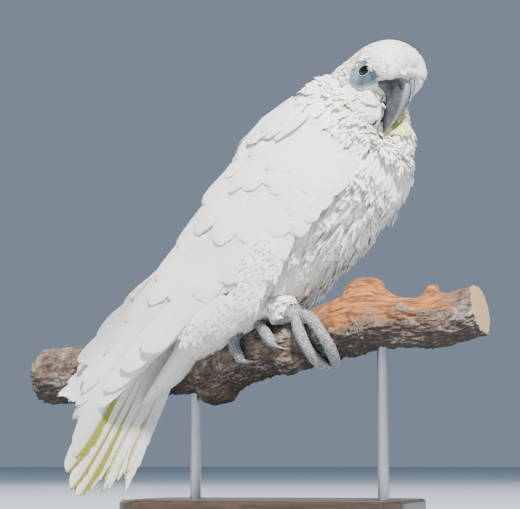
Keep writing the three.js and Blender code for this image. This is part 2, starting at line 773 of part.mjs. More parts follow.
const headRoom = headSolid(GAP);
const crestRoom = crestSolid(GAP);
const ventRoom = bodyLoft(VENT_STATIONS, 6, 10, GAP);
const rooms = [headRoom, crestRoom, ...billRooms, perchRoom, ...legRooms];
const body = carve(bodyLoft(BODY_STATIONS, 12, 16), ...rooms);
const cutSection = sectionAt(BODY_STATIONS, NECK_ENDS_AT);
const down = new THREE.Vector3(cutSection.front.z, 0, -cutSection.front.x);
if (down.z > 0) down.negate();
const cutAt = down.dot(cutSection.middle);
const trunk = mainBody(body.trimByPlane(down.toArray(), cutAt + GAP / 2));
const neckPiece = body.trimByPlane(down.clone().negate().toArray(), -cutAt + GAP / 2);
show("trunk", trunk, feathers);
show("neck", mainBody(neckPiece), feathers);

const bodyRoom = bodyLoft(BODY_STATIONS, 12, 16, GAP);
const thighRooms = [];
for (const name of Object.keys(SIDES)) {
  const thigh = carve(thighSolid(name), bodyRoom, perchRoom, ...legRooms, ...thighRooms);
  show(`thigh_${name}`, thigh, feathers);
  thighRooms.push(thighSolid(name, GAP));
}

const tailRoom = tailSolid(GAP);
show("tail", carve(tailSolid(), bodyRoom, ventRoom, perchRoom), tailFeathers);
const vent = bodyLoft(VENT_STATIONS, 6, 10);
show("vent", carve(vent, bodyRoom, perchRoom, ...thighRooms), feathers);

const wing = wingSolid();
const pairs = { right: partedWing(wing), left: partedWing(wing) };
const wingRooms = [bodyRoom, headRoom, crestRoom, tailRoom, ventRoom, perchRoom, ...thighRooms];
for (const name of Object.keys(SIDES)) {
  const place = (solid) => (name === "left" ? mirrored(solid) : solid);
  show(`wing_${name}`, carve(place(pairs[name].arm), ...wingRooms), feathers);
  show(`primaries_${name}`, carve(place(pairs[name].primaries), ...wingRooms), feathers);
}

export default group;
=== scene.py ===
"""The finished look of a life-size model of a white cockatoo that grips a cut length of branch.

Metres, +Z up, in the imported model's own frame: the bird faces +X and its left side is +Y. Tables
marked mm are written in millimetres and multiplied by MM.
"""

import bpy
import numpy as np
from mathutils import Matrix, Vector


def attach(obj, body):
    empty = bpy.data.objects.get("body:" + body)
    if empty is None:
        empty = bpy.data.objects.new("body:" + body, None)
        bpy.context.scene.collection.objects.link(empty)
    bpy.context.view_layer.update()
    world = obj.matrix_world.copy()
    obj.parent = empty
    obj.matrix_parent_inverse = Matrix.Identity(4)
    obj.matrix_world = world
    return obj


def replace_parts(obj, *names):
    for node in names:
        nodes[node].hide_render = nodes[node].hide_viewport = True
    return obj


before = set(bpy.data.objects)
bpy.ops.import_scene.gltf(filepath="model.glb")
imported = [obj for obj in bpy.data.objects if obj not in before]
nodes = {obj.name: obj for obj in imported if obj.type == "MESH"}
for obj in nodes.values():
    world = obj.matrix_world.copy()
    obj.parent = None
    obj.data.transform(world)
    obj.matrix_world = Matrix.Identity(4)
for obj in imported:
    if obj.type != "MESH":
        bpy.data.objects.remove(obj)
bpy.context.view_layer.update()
MM = 0.001

# ---- Room ---------------------------------------------------------------------------------
# A plain pale floor under an even pale sky, as in a studio: a broad lamp high on the right, a
# weaker one on the left, and a camera a little below the bird's middle.

camera_data = bpy.data.cameras.new("camera")
camera_data.lens = 135.1
camera_data.clip_end = 100
camera = bpy.data.objects.new("camera", camera_data)
camera_stand = Vector((0.373, -1.5469, 0.0499))
camera_aim = Vector((-0.0119, -0.0030, 0.2172))
camera.location = camera_stand
camera.rotation_euler = (camera_aim - camera_stand).to_track_quat("-Z", "Y").to_euler()
bpy.context.scene.collection.objects.link(camera)
bpy.context.scene.camera = camera


def soft_lamp(name, place, size, watts, colour):
    """A square area lamp of that size at a place, turned to the middle of the bird."""
    data = bpy.data.lights.new(name, "AREA")
    data.size = size
    data.energy = watts
    data.color = colour
    lamp = bpy.data.objects.new(name, data)
    lamp.location = place
    lamp.rotation_euler = (camera_aim - lamp.location).to_track_quat("-Z", "Y").to_euler()
    bpy.context.scene.collection.objects.link(lamp)


soft_lamp("lamp_key", Vector((0.60, -1.45, 2.0)), 0.26, 200, (1.0, 0.95, 0.86))
soft_lamp("lamp_fill", Vector((-1.8, -1.6, 0.9)), 1.6, 9, (0.88, 0.94, 1.0))
soft_lamp("lamp_back", Vector((-0.9, 1.6, 1.7)), 1.0, 26, (1.0, 0.98, 0.94))

sky = bpy.data.worlds.new("pale_sky")
sky.use_nodes = True
sky.node_tree.nodes["Background"].inputs["Color"].default_value = (0.46, 0.58, 0.74, 1)
sky.node_tree.nodes["Background"].inputs["Strength"].default_value = 0.44
bpy.context.scene.world = sky


def grid_faces(rows, cols, wrap=False):
    """Quads of a rows by cols grid of points, row by row; wrap joins the last column to the
    first."""
    i = np.arange(rows - 1)[:, None] * cols
    j = np.arange(cols if wrap else cols - 1)[None, :]
    k = (j + 1) % cols
    return np.stack([i + j, i + k, i + cols + k, i + cols + j], -1).reshape(-1, 4)


def mesh_piece(name, points, faces, material, smooth=True):
    """One mesh object from an array of points and one or more arrays of faces."""
    mesh = bpy.data.meshes.new(name)
    lists = [faces] if isinstance(faces, np.ndarray) else faces
    corners = np.concatenate([f.ravel() for f in lists]).astype(np.int32)
    sides = np.concatenate([np.full(len(f), f.shape[1], np.int32) for f in lists])
    mesh.vertices.add(len(points))
    mesh.vertices.foreach_set("co", np.asarray(points, np.float32).ravel())
    mesh.loops.add(len(corners))
    mesh.loops.foreach_set("vertex_index", corners)
    mesh.polygons.add(len(sides))
    mesh.polygons.foreach_set("loop_start", np.cumsum(sides) - sides)
    mesh.update(calc_edges=True)
    mesh.polygons.foreach_set("use_smooth", np.full(len(sides), smooth))
    mesh.materials.append(material)
    piece = bpy.data.objects.new(name, mesh)
    bpy.context.scene.collection.objects.link(piece)
    return piece


def finish_of(name, **sockets):
    """A new material with those values on its shader's own sockets: material, tree, shader."""
    material = bpy.data.materials.new(name)
    material.use_nodes = True
    shader = material.node_tree.nodes["Principled BSDF"]
    for socket, value in sockets.items():
        shader.inputs[socket.replace("_", " ")].default_value = value
    return material, material.node_tree, shader


def node(tree, kind, inputs=(), **settings):
    """A node of that kind: settings are its own properties, and inputs maps a socket's name or
    number to a value or to another node's output."""
    made = tree.nodes.new("ShaderNode" + kind)
    for key, value in settings.items():
        setattr(made, key, value)
    for key, value in dict(inputs).items():
        if isinstance(value, bpy.types.NodeSocket):
            tree.links.new(value, made.inputs[key])
        else:
            made.inputs[key].default_value = value
    return made


def blended(tree, share, low, high):
    """Output of a mix of two colours, each a colour or a socket, by a share."""
    inputs = {0: share, 6: low, 7: high}
    return node(tree, "Mix", inputs, data_type="RGBA").outputs[2]


def ramp(tree, value, low, high, to_low=0.0, to_high=1.0):
    """Output that runs from to_low to to_high, clamped, as value runs from low to high."""
    inputs = {0: value, 1: low, 2: high, 3: to_low, 4: to_high}
    return node(tree, "MapRange", inputs, clamp=True).outputs[0]


def speckle(tree, where, scale, detail=3.0, roughness=0.55):
    """Output of a fractal noise of that scale at a place."""
    inputs = {"Vector": where, "Scale": scale, "Detail": detail, "Roughness": roughness}
    return node(tree, "TexNoise", inputs).outputs[0]


def object_place(tree):
    """Output of each point's own place in the object."""
    return node(tree, "TexCoord").outputs["Object"]


FLOOR_RADIUS = 12.0
floor_paint, tree, shader = finish_of("floor_paint", Roughness=0.85)
floor_mottle = ramp(tree, speckle(tree, object_place(tree), 3.0), 0.3, 0.7)
floor_colour = blended(tree, floor_mottle, (0.50, 0.58, 0.67, 1), (0.52, 0.60, 0.69, 1))
tree.links.new(floor_colour, shader.inputs["Base Color"])
ring, turn = np.meshgrid(np.linspace(0.001, 1, 12) ** 2, np.linspace(0, 2 * np.pi, 64, False),
                         indexing="ij")
reach = FLOOR_RADIUS * ring
floor_points = np.stack([reach * np.cos(turn), reach * np.sin(turn), 0 * ring - 0.0002], -1)
floor = mesh_piece("floor", floor_points.reshape(-1, 3), grid_faces(12, 64, True), floor_paint)

# ---- Stand --------------------------------------------------------------------------------
# A flat hardwood base with a dark satin varnish, and two short steel rods let into it and into
# the underside of the branch.


def stretched(tree, where, scale):
    """Output of a place scaled along each axis, so that a pattern read there is drawn out."""
    return node(tree, "Mapping", {"Vector": where, "Scale": scale}).outputs[0]


def bump(tree, shader, height, distance, strength=1.0):
    """Raises the shader's surface by a height of 0 to 1 times a distance in metres."""
    inputs = {"Height": height, "Distance": distance, "Strength": strength}
    tree.links.new(node(tree, "Bump", inputs).outputs[0], shader.inputs["Normal"])


varnish, tree, shader = finish_of("dark_varnish", Roughness=0.34, Coat_Weight=0.35,
                                  Coat_Roughness=0.25)
grain_at = stretched(tree, object_place(tree), (6, 90, 90))
grain = speckle(tree, grain_at, 1.6, 5.0, 0.62)
pores = speckle(tree, stretched(tree, object_place(tree), (40, 900, 900)), 1.0, 2.0)
wood_tone = blended(tree, ramp(tree, grain, 0.3, 0.7), (0.028, 0.016, 0.010, 1),
                    (0.085, 0.046, 0.026, 1))
wood_tone = blended(tree, ramp(tree, pores, 0.35, 0.5), (0.02, 0.012, 0.008, 1), wood_tone)
tree.links.new(wood_tone, shader.inputs["Base Color"])
tree.links.new(ramp(tree, grain, 0.2, 0.8, 0.3, 0.45), shader.inputs["Roughness"])
bump(tree, shader, pores, 0.0002, 0.4)

rod_steel, tree, shader = finish_of("brushed_steel", Metallic=1.0, Roughness=0.3)
brushing = speckle(tree, stretched(tree, object_place(tree), (500, 500, 12000)), 1.0, 2.0)
steel_tone = blended(tree, brushing, (0.45, 0.46, 0.48, 1), (0.68, 0.69, 0.70, 1))
tree.links.new(steel_tone, shader.inputs["Base Color"])
tree.links.new(ramp(tree, brushing, 0, 1, 0.22, 0.42), shader.inputs["Roughness"])
bump(tree, shader, brushing, 0.00004, 0.5)

for name, stand_finish in {"stand_base": varnish, "stand_rod_1": rod_steel,
                           "stand_rod_2": rod_steel}.items():
    nodes[name].data.materials.clear()
    nodes[name].data.materials.append(stand_finish)

# ---- Branch -------------------------------------------------------------------------------
# A cut length of a dead branch: flaking grey-brown bark, stripped to bare orange wood where
# birds have chewed its top, with knots, and sawn square at both ends.

BRANCH = MM * np.array([  # middle x, y, z and radius of each cross-section, mm
    [-232, 101, 124, 23.5], [-192, 84, 124.6, 24], [-122, 52, 128, 22.5], [-76, 32, 128.4, 22.5],
    [-50, 20, 127.4, 22.5], [-30, 11, 133, 20.5], [-5, -1, 138.5, 20], [23, -13, 143.5, 20.5],
    [50, -22, 151.5, 22.5], [68, -27, 156.5, 24], [85, -30, 160.5, 24.5], [110, -36, 158, 20],
    [142, -42, 158, 20], [175, -49, 165, 18.5]])
BRANCH_ROWS = 420
BRANCH_COLS = 200
END_RINGS = 14
# Knots: distance along X, angle round from the top towards the bird's right, size and height.
BRANCH_KNOTS = [(0.084, -0.05, 0.011, 0.009), (0.139, 0.0, 0.008, 0.009),
                (-0.052, 3.05, 0.012, 0.008), (0.118, 1.2, 0.007, 0.004),
                (0.020, 2.5, 0.010, 0.006)]


def along_table(table, at):
    """Values of a table at fractional rows: a Catmull-Rom curve through every column, carried on
    straight past both ends."""
    last = len(table) - 1
    at = np.asarray(at, float)[..., None]
    inside = np.clip(at, 0, last)
    row = np.minimum(inside.astype(int), last - 1)
    t = inside - row
    a, b, c, d = (table[np.clip(row[..., 0] + k, 0, last)] for k in (-1, 0, 1, 2))
    curve = b + 0.5 * t * (c - a + t * (2 * a - 5 * b + 4 * c - d + t * (3 * (b - c) + d - a)))
    past = np.where(at > last, (at - last) * (table[-1] - table[-2]), 0)
    short = np.where(at < 0, at * (table[1] - table[0]), 0)
    return curve + past + short


def unit(v):
    """The same directions, each made one metre long."""
    return v / np.maximum(np.linalg.norm(v, axis=-1, keepdims=True), 1e-12)


def smooth_step(value):
    """0 below 0, 1 above 1, and an even curve between."""
    value = np.clip(value, 0, 1)
    return value * value * (3 - 2 * value)


def lattice_noise(place, seed):
    """Smooth noise of -1 to 1 at places of two or three numbers: random values on a unit
    lattice, blended by a smooth step along each axis."""
    cell = np.floor(place).astype(np.int64)
    t = place - cell
    t = t * t * (3 - 2 * t)
    total = np.zeros(place.shape[:-1])
    for corner in np.ndindex(*(2,) * place.shape[-1]):
        spot = cell + np.array(corner)
        key = seed * 7919 + np.zeros(place.shape[:-1], np.int64)
        for axis, prime in zip(range(place.shape[-1]), (73856093, 19349663, 83492791)):
            key = key ^ (spot[..., axis] * prime)
        key = (key ^ (key >> 13)) * 1274126177 & 0x7FFFFFFF
        weight = np.prod(np.where(np.array(corner) == 1, t, 1 - t), -1)
        total += weight * (key / 0x3FFFFFFF - 1)
    return total


def branch_middle(share):
    """Middle, radius, level-across and up-out directions of the branch at a share of its
    length."""
    at = share * (len(BRANCH) - 1)
    here = along_table(BRANCH, at)
    run = unit((along_table(BRANCH, at + 0.05) - along_table(BRANCH, at - 0.05))[..., :3])
    across = unit(np.cross([0, 0, 1.0], run))
    return here[..., :3], here[..., 3:], across, np.cross(run, across)


def branch_surface(share, turn):
    """Points of the bark: the middle, plus the radius and the bark's relief at an angle from the
    top towards the bird's right. Relief is long flaking ridges, dents and knots; the bare top is
    smoother. Also returns how bare each point is."""
    middle, radius, across, out = branch_middle(share)
    span = share * 0.43
    around = turn * 0.022
    place = np.stack([span * 60, around * 170, 0 * span], -1)
    warp = lattice_noise(np.stack([span * 30, around * 60], -1), 3)
    top = np.cos(turn - 0.25)
    x = middle[..., 0]
    patch = top * 1.1 + 0.5 * warp + 0.35 * lattice_noise(place * 1.7, 9)
    bare = np.clip((patch - 0.28) * 5, 0, 1) * np.clip((x - 0.035) / 0.03, 0, 1)
    bare = bare * np.clip((0.165 - x) / 0.02, 0, 1)
    ridges = lattice_noise(place + warp[..., None], 1)
    flakes = np.abs(lattice_noise(place * [2.2, 2.6, 1] + 7 + warp[..., None], 2))
    grit = lattice_noise(np.stack([span * 700, around * 900], -1), 4)
    shag = np.clip(-np.cos(turn) * 1.4 - 0.2, 0, 1) * lattice_noise(place * 5, 5)
    relief = 0.0011 * ridges + 0.0014 * flakes + 0.00035 * grit + 0.0012 * shag
    fibre = lattice_noise(np.stack([span * 40, around * 900], -1), 6)
    worn = -0.0012 + 0.0002 * fibre + 0.0007 * lattice_noise(place * 0.6, 8)
    relief = relief * (1 - bare) + worn * bare
    for knot_x, knot_turn, size, height in BRANCH_KNOTS:
        off = np.hypot(x - knot_x, (np.mod(turn - knot_turn + np.pi, 2 * np.pi) - np.pi) * 0.022)
        hump = np.clip(1.5 * np.exp(-((off / size) ** 2)), 0, 1)
        steep = smooth_step((knot_x + 0.8 * size - x) / (0.35 * size))
        relief = relief + height * hump * (0.45 + 0.55 * steep) * (1 + 0.12 * fibre)
    reach = radius + relief[..., None]
    arm = out * np.cos(turn)[..., None] - across * np.sin(turn)[..., None]
    return middle + reach * arm, bare


def worked(tree, operation, *values):
    """Output of one piece of arithmetic on numbers, each a value or a socket."""
    return node(tree, "Math", dict(enumerate(values)), operation=operation).outputs[0]


# Bark and bare wood in one finish: the mesh's own "bare" value mixes them, "rise", the upward
# lean of the surface, darkens the underside with painted shade, and "ring" draws the growth
# rings of the sawn ends.
bark_finish, tree, shader = finish_of("branch_bark", Roughness=0.9)
bark_place = object_place(tree)
streak = speckle(tree, stretched(tree, bark_place, (60, 160, 160)), 1.0, 5.0, 0.65)
patches = speckle(tree, bark_place, 55.0, 4.0, 0.6)
grit_spots = speckle(tree, bark_place, 420.0, 3.0, 0.6)
bark_tone = blended(tree, ramp(tree, streak, 0.32, 0.68), (0.040, 0.026, 0.020, 1),
                    (0.250, 0.175, 0.130, 1))
bark_tone = blended(tree, ramp(tree, patches, 0.52, 0.68), bark_tone, (0.330, 0.290, 0.250, 1))
bark_tone = blended(tree, ramp(tree, grit_spots, 0.35, 0.55, 0.75, 0.0), bark_tone,
                    (0.030, 0.020, 0.016, 1))
# Painted shade: the bark goes darker where its surface faces down.
shade_by_facing = node(tree, "Attribute", attribute_name="rise").outputs["Fac"]
bark_tone = blended(tree, ramp(tree, shade_by_facing, -0.15, -0.75), bark_tone,
                    (0.030, 0.022, 0.018, 1))
fibres = speckle(tree, stretched(tree, bark_place, (30, 260, 260)), 1.0, 5.0, 0.7)
bare_tone = blended(tree, ramp(tree, fibres, 0.40, 0.58), (0.120, 0.038, 0.013, 1),
                    (0.410, 0.160, 0.048, 1))
bare_tone = blended(tree, ramp(tree, patches, 0.55, 0.75), bare_tone, (0.24, 0.11, 0.05, 1))
bare_tone = blended(tree, ramp(tree, grit_spots, 0.62, 0.72, 0.0, 0.5), bare_tone,
                    (0.10, 0.04, 0.018, 1))
bare_value = node(tree, "Attribute", attribute_name="bare").outputs["Fac"]
branch_tone = blended(tree, bare_value, bark_tone, bare_tone)
ring_value = node(tree, "Attribute", attribute_name="ring").outputs["Fac"]
wobble = worked(tree, "MULTIPLY_ADD", patches, 0.08, ring_value)
ring_wave = worked(tree, "SINE", worked(tree, "MULTIPLY", wobble, 95.0))
end_tone = blended(tree, ramp(tree, ring_wave, -1, 1), (0.36, 0.22, 0.12, 1),
                   (0.56, 0.40, 0.24, 1))
on_end = ramp(tree, ring_value, 0.0, 0.02)
branch_tone = blended(tree, on_end, branch_tone, end_tone)
tree.links.new(branch_tone, shader.inputs["Base Color"])
bump(tree, shader, blended(tree, bare_value, grit_spots, fibres), 0.0006, 0.7)

share, turn = np.meshgrid(np.linspace(0, 1, BRANCH_ROWS),
                          np.linspace(0, 2 * np.pi, BRANCH_COLS, False), indexing="ij")
bark_points, bare_share = branch_surface(share, turn)
inward = np.linspace(1, 0.02, END_RINGS)[1:, None, None]
ends = []
for end in (bark_points[0], bark_points[-1]):
    centre = end.mean(0)
    ends.append(centre + (end - centre)[None] * inward)
start_ring = np.concatenate([ends[0][::-1], bark_points, ends[1]])
branch_rows = len(start_ring)
branch_faces = grid_faces(branch_rows, BRANCH_COLS, True)
last_ring = (branch_rows - 1) * BRANCH_COLS
caps = [np.arange(BRANCH_COLS)[None, ::-1], (last_ring + np.arange(BRANCH_COLS))[None]]
branch = mesh_piece("branch", start_ring.reshape(-1, 3), [branch_faces, *caps], bark_finish)


def mesh_values(piece, **values):
    """Stores named values on a mesh, one number to a point, for its finish to read."""
    for name, value in values.items():
        attribute = piece.data.attributes.new(name, "FLOAT", "POINT")
        attribute.data.foreach_set("value", np.asarray(value, np.float32).ravel())


rim = np.ones((END_RINGS - 1, BRANCH_COLS)) * inward[..., 0]
flat = np.zeros_like(rim)
# The upward lean of each point's normal, which the finish turns into painted shade underneath.
bark_normals = np.empty(3 * len(branch.data.vertices), np.float32)
branch.data.vertex_normals.foreach_get("vector", bark_normals)
mesh_values(branch, bare=np.concatenate([flat, bare_share, flat]), rise=bark_normals[2::3],
            ring=np.concatenate([rim[::-1], 0 * bare_share, rim]))
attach(branch, "root")
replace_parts(branch, "perch")

# ---- Skin ---------------------------------------------------------------------------------
# One pale skin under the whole coat: trunk, neck, head, cheeks, thighs, the flesh of the wings
# and the root of the tail. Its parts overlap and are fused into one, and it is drawn in from
# the coat's outline by the depth of the feathers there.

BODY = MM * np.array([  # middle x, y, z, then reach to breast, back, right and left, mm
    [92, -18, 361, 12, 12, 12, 12], [87, -14, 350, 30, 27, 25, 26], [75, -4, 333, 50, 41, 29, 33],
    [62, 0, 318, 63, 48, 42, 43], [36, 0, 285, 69, 55, 51, 51], [8.5, 0, 245, 63, 57, 52, 52],
    [-19, 0, 204, 51, 52, 46, 46], [-42, 0, 169.5, 28, 42, 35, 35], [-62, 0, 146, 14, 26, 24, 24],
    [-77, 0, 131, 4, 12, 12, 12]])
VENT = MM * np.array([  # under-tail feathers, in the same terms
    [-62, 0, 156, 9, 9, 18, 18], [-72, 0, 144, 12, 9, 21, 21], [-86, -2, 125, 11, 5, 17, 17],
    [-98, -4, 110, 7, 3, 13, 13], [-107, -6, 98, 2, 2, 4, 4]])
HEAD = MM * np.array([  # distance forward, height of crown and throat, half-width, mm
    [-38, -17, -30, 13], [-33, -9, -32, 19], [-25, 1, -33, 23.5], [-15, 11, -32, 25.5],
    [-6, 20.5, -31, 26.5], [4, 27, -29, 26.5], [13, 29.5, -26, 26.5], [21, 29, -22, 26.3],
    [27, 26, -18, 25.5], [32, 21, -11, 23.5], [36, 14, -1, 17.5], [38, 9.5, 4, 10]])
BODY_SQUARENESS = 2.2
HEAD_SQUARENESS = 2.4
HEAD_PLACE = MM * np.array([89, -16, 360.8])
HEAD_TO_RIGHT = np.radians(30)
HEAD_NOD = np.radians(23)
HEAD_TURN = np.array(Matrix.Rotation(-HEAD_TO_RIGHT, 3, "Z") @ Matrix.Rotation(HEAD_NOD, 3, "Y"))
WING = MM * np.array([  # distance from the wrist, lower and upper edge, stand-off, mm
    [-5, -4, 8, 40], [2, -13, 26, 44], [12, -19, 38, 50], [26, -27, 48, 55], [44, -35, 53, 58],
    [60, -38, 55, 58], [80, -34, 55, 57], [105, -31, 54.5, 55], [135, -32, 49, 51],
    [158, -18, 45, 48], [180, -9, 44, 44], [200, 0, 42, 40], [230, 1, 37, 33], [262, 1, 30, 26],
    [284, 1, 24, 21], [299, 0, 15, 18], [306, 1, 5, 17]])
WRIST = MM * np.array([56, 302.6])
WING_TIP = MM * np.array([-154, 81.5])
WING_ROOF = 2.3
WING_OVER_BODY = 0.005
LEFT_WING_LIFT = np.radians(6)
LEFT_WING_SLIP = 0.006
THIGHS = {"right": MM * np.array([[8, -24, 184], [13, -27, 163]]),
          "left": MM * np.array([[-17, 20, 180], [-16, 8, 170]])}
THIGH_RADIUS = (0.022, 0.010)
# The face is drawn in beside the bill, and the throat is hollowed where the bill rests on it:
# distance forward, height and radius of the bill's stations, in the head's frame.
BESIDE_BILL = {"right": 0.50, "left": 0.12}
BILL_REST = MM * np.array([[26, -6, 12], [30, -13, 11], [30, -20, 9], [28.5, -28, 7],
                           [27, -36, 5], [25.8, -43, 3.5]])
# Distance forward and least height of the forehead's underside over the bill's ridge.
OVER_BILL = MM * np.array([[26, 2], [31, 4.5], [36, 6], [38, 9]])
CHEEK_PLACE = MM * np.array([14, 14.5, -27])
CHEEK_REACH = MM * np.array([17, 12, 14])
# How deep the skin lies under the coat's outline: trunk, head, under-tail, thighs and cheeks.
TRUNK_DEPTH = 0.0065
HEAD_DEPTH = 0.0026
VENT_DEPTH = 0.0030
THIGH_DEPTH = 0.0035
CHEEK_DEPTH = 0.0035
SKIN_VOXEL = 0.0015
SIDES = {"right": -1, "left": 1}  # the sign of Y


def superellipse(angle, squareness):
    """Cosine and sine of an angle, each raised to the power 2 / squareness with its sign kept."""
    power = 2 / squareness
    c, w = np.cos(angle), np.sin(angle)
    return np.sign(c) * np.abs(c) ** power, np.sign(w) * np.abs(w) ** power


def on_head(points):
    """Points of the head's own frame, turned and nodded into the bird's."""
    return points @ HEAD_TURN.T + HEAD_PLACE


rest_middles = on_head(BILL_REST[:, [0, 0, 1]] * [1, 0, 1])
rest_radii = BILL_REST[:, 2]
rest_out = unit(np.array([0.24, -0.97, 0.0]))


def hollowed(points):
    """The same points, pushed in towards the bird's left wherever they would cover the bill: all
    the way behind it straight above it, and less out to 9 mm beside it."""
    push = np.zeros(points.shape[:-1])
    for middle, radius in zip(rest_middles, rest_radii):
        gap = points - middle
        out = gap @ rest_out
        beside = np.linalg.norm(gap - out[..., None] * rest_out, axis=-1)
        share = smooth_step(1 - (beside - radius) / 0.009)
        push = np.maximum(push, share * np.clip(out + 0.0055, 0, 0.02))
    return points - push[..., None] * rest_out


def lofted(table):
    """Surface of a body from its table: around each middle, a superellipse with its own reach to
    the breast, back, right and left. Angle 0 is the breast and a quarter turn is the left."""
    def surface(at, angle):
        x, y, z, breast, back, right, left = np.moveaxis(along_table(table, at), -1, 0)
        run = along_table(table, at + 0.02) - along_table(table, at - 0.02)
        run = unit(run[..., [0, 2]])
        c, w = superellipse(angle, BODY_SQUARENESS)
        forward = c * np.where(c > 0, breast, back)
        sideways = w * np.where(w > 0, left, right)
        return np.stack([x - run[..., 1] * forward, y + sideways, z + run[..., 0] * forward], -1)
    return surface


def head_surface(at, angle):
    """Surface of the head: at each distance forward a superellipse between the crown's and the
    throat's heights, drawn in beside the bill and lifted clear of its ridge. Angle 0 is the
    crown, a quarter turn the left."""
    x, crown, throat, half = np.moveaxis(along_table(HEAD, at), -1, 0)
    c, w = superellipse(angle, HEAD_SQUARENESS)
    up = (crown + throat) / 2 + c * (crown - throat) / 2
    low_front = smooth_step((x - 0.011) / 0.013) * smooth_step((0.005 - up) / 0.008)
    drawn = np.where(w < 0, BESIDE_BILL["right"], BESIDE_BILL["left"]) * low_front
    beside = w * half * (1 - drawn)
    ridge = np.interp(x, *OVER_BILL.T)
    near = smooth_step((0.017 - np.abs(beside + 0.002)) / 0.006) * smooth_step((x - 0.026) / 0.004)
    up = up + near * np.maximum(ridge - up, 0)
    return on_head(np.stack([x, beside, up], -1))


def cheek_surface(side):
    """Surface of one cheek's puff: an ellipsoid at a longitude and a height angle."""
    def surface(turn, rise):
        level = np.cos(rise)
        ball = np.stack([np.cos(turn) * level, np.sin(turn) * level, np.sin(rise)], -1)
        return on_head(CHEEK_PLACE * [1, side, 1] + CHEEK_REACH * ball)
    return surface


def tube_surface(ends, radii):
    """Surface of a rounded tube from end to end: its radius runs through a list as its middle
    runs along the line."""
    def surface(share, turn):
        reach = along_table(np.array(radii)[:, None], share * (len(radii) - 1))[..., 0]
        run = unit(ends[1] - ends[0])
        side = unit(np.cross(run, [0, 1.0, 0]))
        other = np.cross(run, side)
        middle = ends[0] + share[..., None] * (ends[1] - ends[0])
        arm = np.cos(turn)[..., None] * side + np.sin(turn)[..., None] * other
        return middle + reach[..., None] * arm
    return surface


def body_surface(at, angle):
    """The lofted trunk and neck, with the throat's hollow for the bill."""
    return hollowed(lofted(BODY)(at, angle))


wing_run = unit(WING_TIP - WRIST)
wing_up = np.array([wing_run[1], -wing_run[0]])


def trunk_breadth(x, z):
    """Half the trunk's breadth at places in the middle plane, 0 outside it."""
    at = np.linspace(2, len(BODY) - 1, 140)
    table = along_table(BODY, at)
    run = unit(np.gradient(table[:, [0, 2]], axis=0))
    dx = x[..., None] - table[:, 0]
    dz = z[..., None] - table[:, 2]
    best = np.argmin(np.abs(dx * run[:, 0] + dz * run[:, 1]), -1)
    pick = lambda rows: np.take_along_axis(rows, best[..., None], -1)[..., 0]
    out = pick(-dx * run[:, 1] + dz * run[:, 0])
    reach = np.where(out > 0, table[best, 3], table[best, 4])
    share = np.abs(out / reach) ** BODY_SQUARENESS
    return table[best, 6] * np.clip(1 - share, 0, 1) ** (1 / BODY_SQUARENESS)


def wing_surface(at, share):
    """Outer face of the folded right wing: a row of its table and a share from its lower to its
    upper edge. It arches over the back, and hugs the trunk where the trunk is broader."""
    p, low, high, stand = np.moveaxis(along_table(WING, at), -1, 0)
    q = low + share * (high - low)
    middle = np.minimum(0, (low + high) / 2 - 0.020)
    arch = 1 - np.abs((q - middle) / (high + 0.004 - middle)) ** WING_ROOF
    roof = 0.003 + stand * np.clip(arch, 0, 1) ** (1 / WING_ROOF)
    place = WRIST + p[..., None] * wing_run + q[..., None] * wing_up
    hug = trunk_breadth(place[..., 0], place[..., 1]) + WING_OVER_BODY
    out = 0.5 * (roof + hug + np.sqrt((roof - hug) ** 2 + 0.004 ** 2))
    return np.stack([place[..., 0], -np.maximum(out, 0.0012), place[..., 1]], -1)


def left_wing(points):
    """The right wing's points mirrored to the left, lifted about the wrist and slipped back."""
    lift = np.array(Matrix.Rotation(LEFT_WING_LIFT, 3, "Y"))
    wrist = np.array([WRIST[0], 0, WRIST[1]])
    slip = LEFT_WING_SLIP * np.array([wing_run[0], 0, wing_run[1]])
    return (points * [1, -1, 1] - wrist) @ lift.T + wrist + slip


def shell(surface, a_ends, b_ends, outward=1, rows=240, cols=180):
    """A surface sampled once on a grid, as place(a, b, height): the point there, raised along
    the outward normal. Past the grid's edges it carries on straight."""
    a, b = np.meshgrid(np.linspace(*a_ends, rows), np.linspace(*b_ends, cols), indexing="ij")
    points = surface(a, b)
    normals = outward * unit(np.cross(np.gradient(points, axis=0), np.gradient(points, axis=1)))
    table = np.concatenate([points, normals], -1)

    def place(at_a, at_b, height):
        fa = (at_a - a_ends[0]) / (a_ends[1] - a_ends[0]) * (rows - 1)
        fb = (at_b - b_ends[0]) / (b_ends[1] - b_ends[0]) * (cols - 1)
        i = np.clip(np.floor(fa), 0, rows - 2).astype(int)
        j = np.clip(np.floor(fb), 0, cols - 2).astype(int)
        t = np.clip(fa - i, -30, 30)[..., None]
        s = np.clip(fb - j, -30, 30)[..., None]
        low = (1 - s) * table[i, j] + s * table[i, j + 1]
        high = (1 - s) * table[i + 1, j] + s * table[i + 1, j + 1]
        value = (1 - t) * low + t * high
        return value[..., :3] + np.asarray(height)[..., None] * unit(value[..., 3:])
    return place


TURN = (-np.pi - 1.2, np.pi + 1.2)
body_shell = shell(body_surface, (0, len(BODY) - 1), TURN)
head_shell = shell(head_surface, (0, len(HEAD) - 1), TURN)
vent_shell = shell(lofted(VENT), (0, len(VENT) - 1), TURN)
wing_shell = shell(wing_surface, (0, len(WING) - 1), (0, 1), outward=-1)


def closed_tube(place, a_ends, height, rows, cols):
    """Points and faces of a shell closed round its turn and capped at both ends."""
    a, b = np.meshgrid(np.linspace(*a_ends, rows), np.linspace(-np.pi, np.pi, cols, False),
                       indexing="ij")
    points = place(a, b, np.full(a.shape, height)).reshape(-1, 3)
    caps = [np.arange(cols)[None, ::-1], ((rows - 1) * cols + np.arange(cols))[None]]
    return points, [grid_faces(rows, cols, True), *caps]


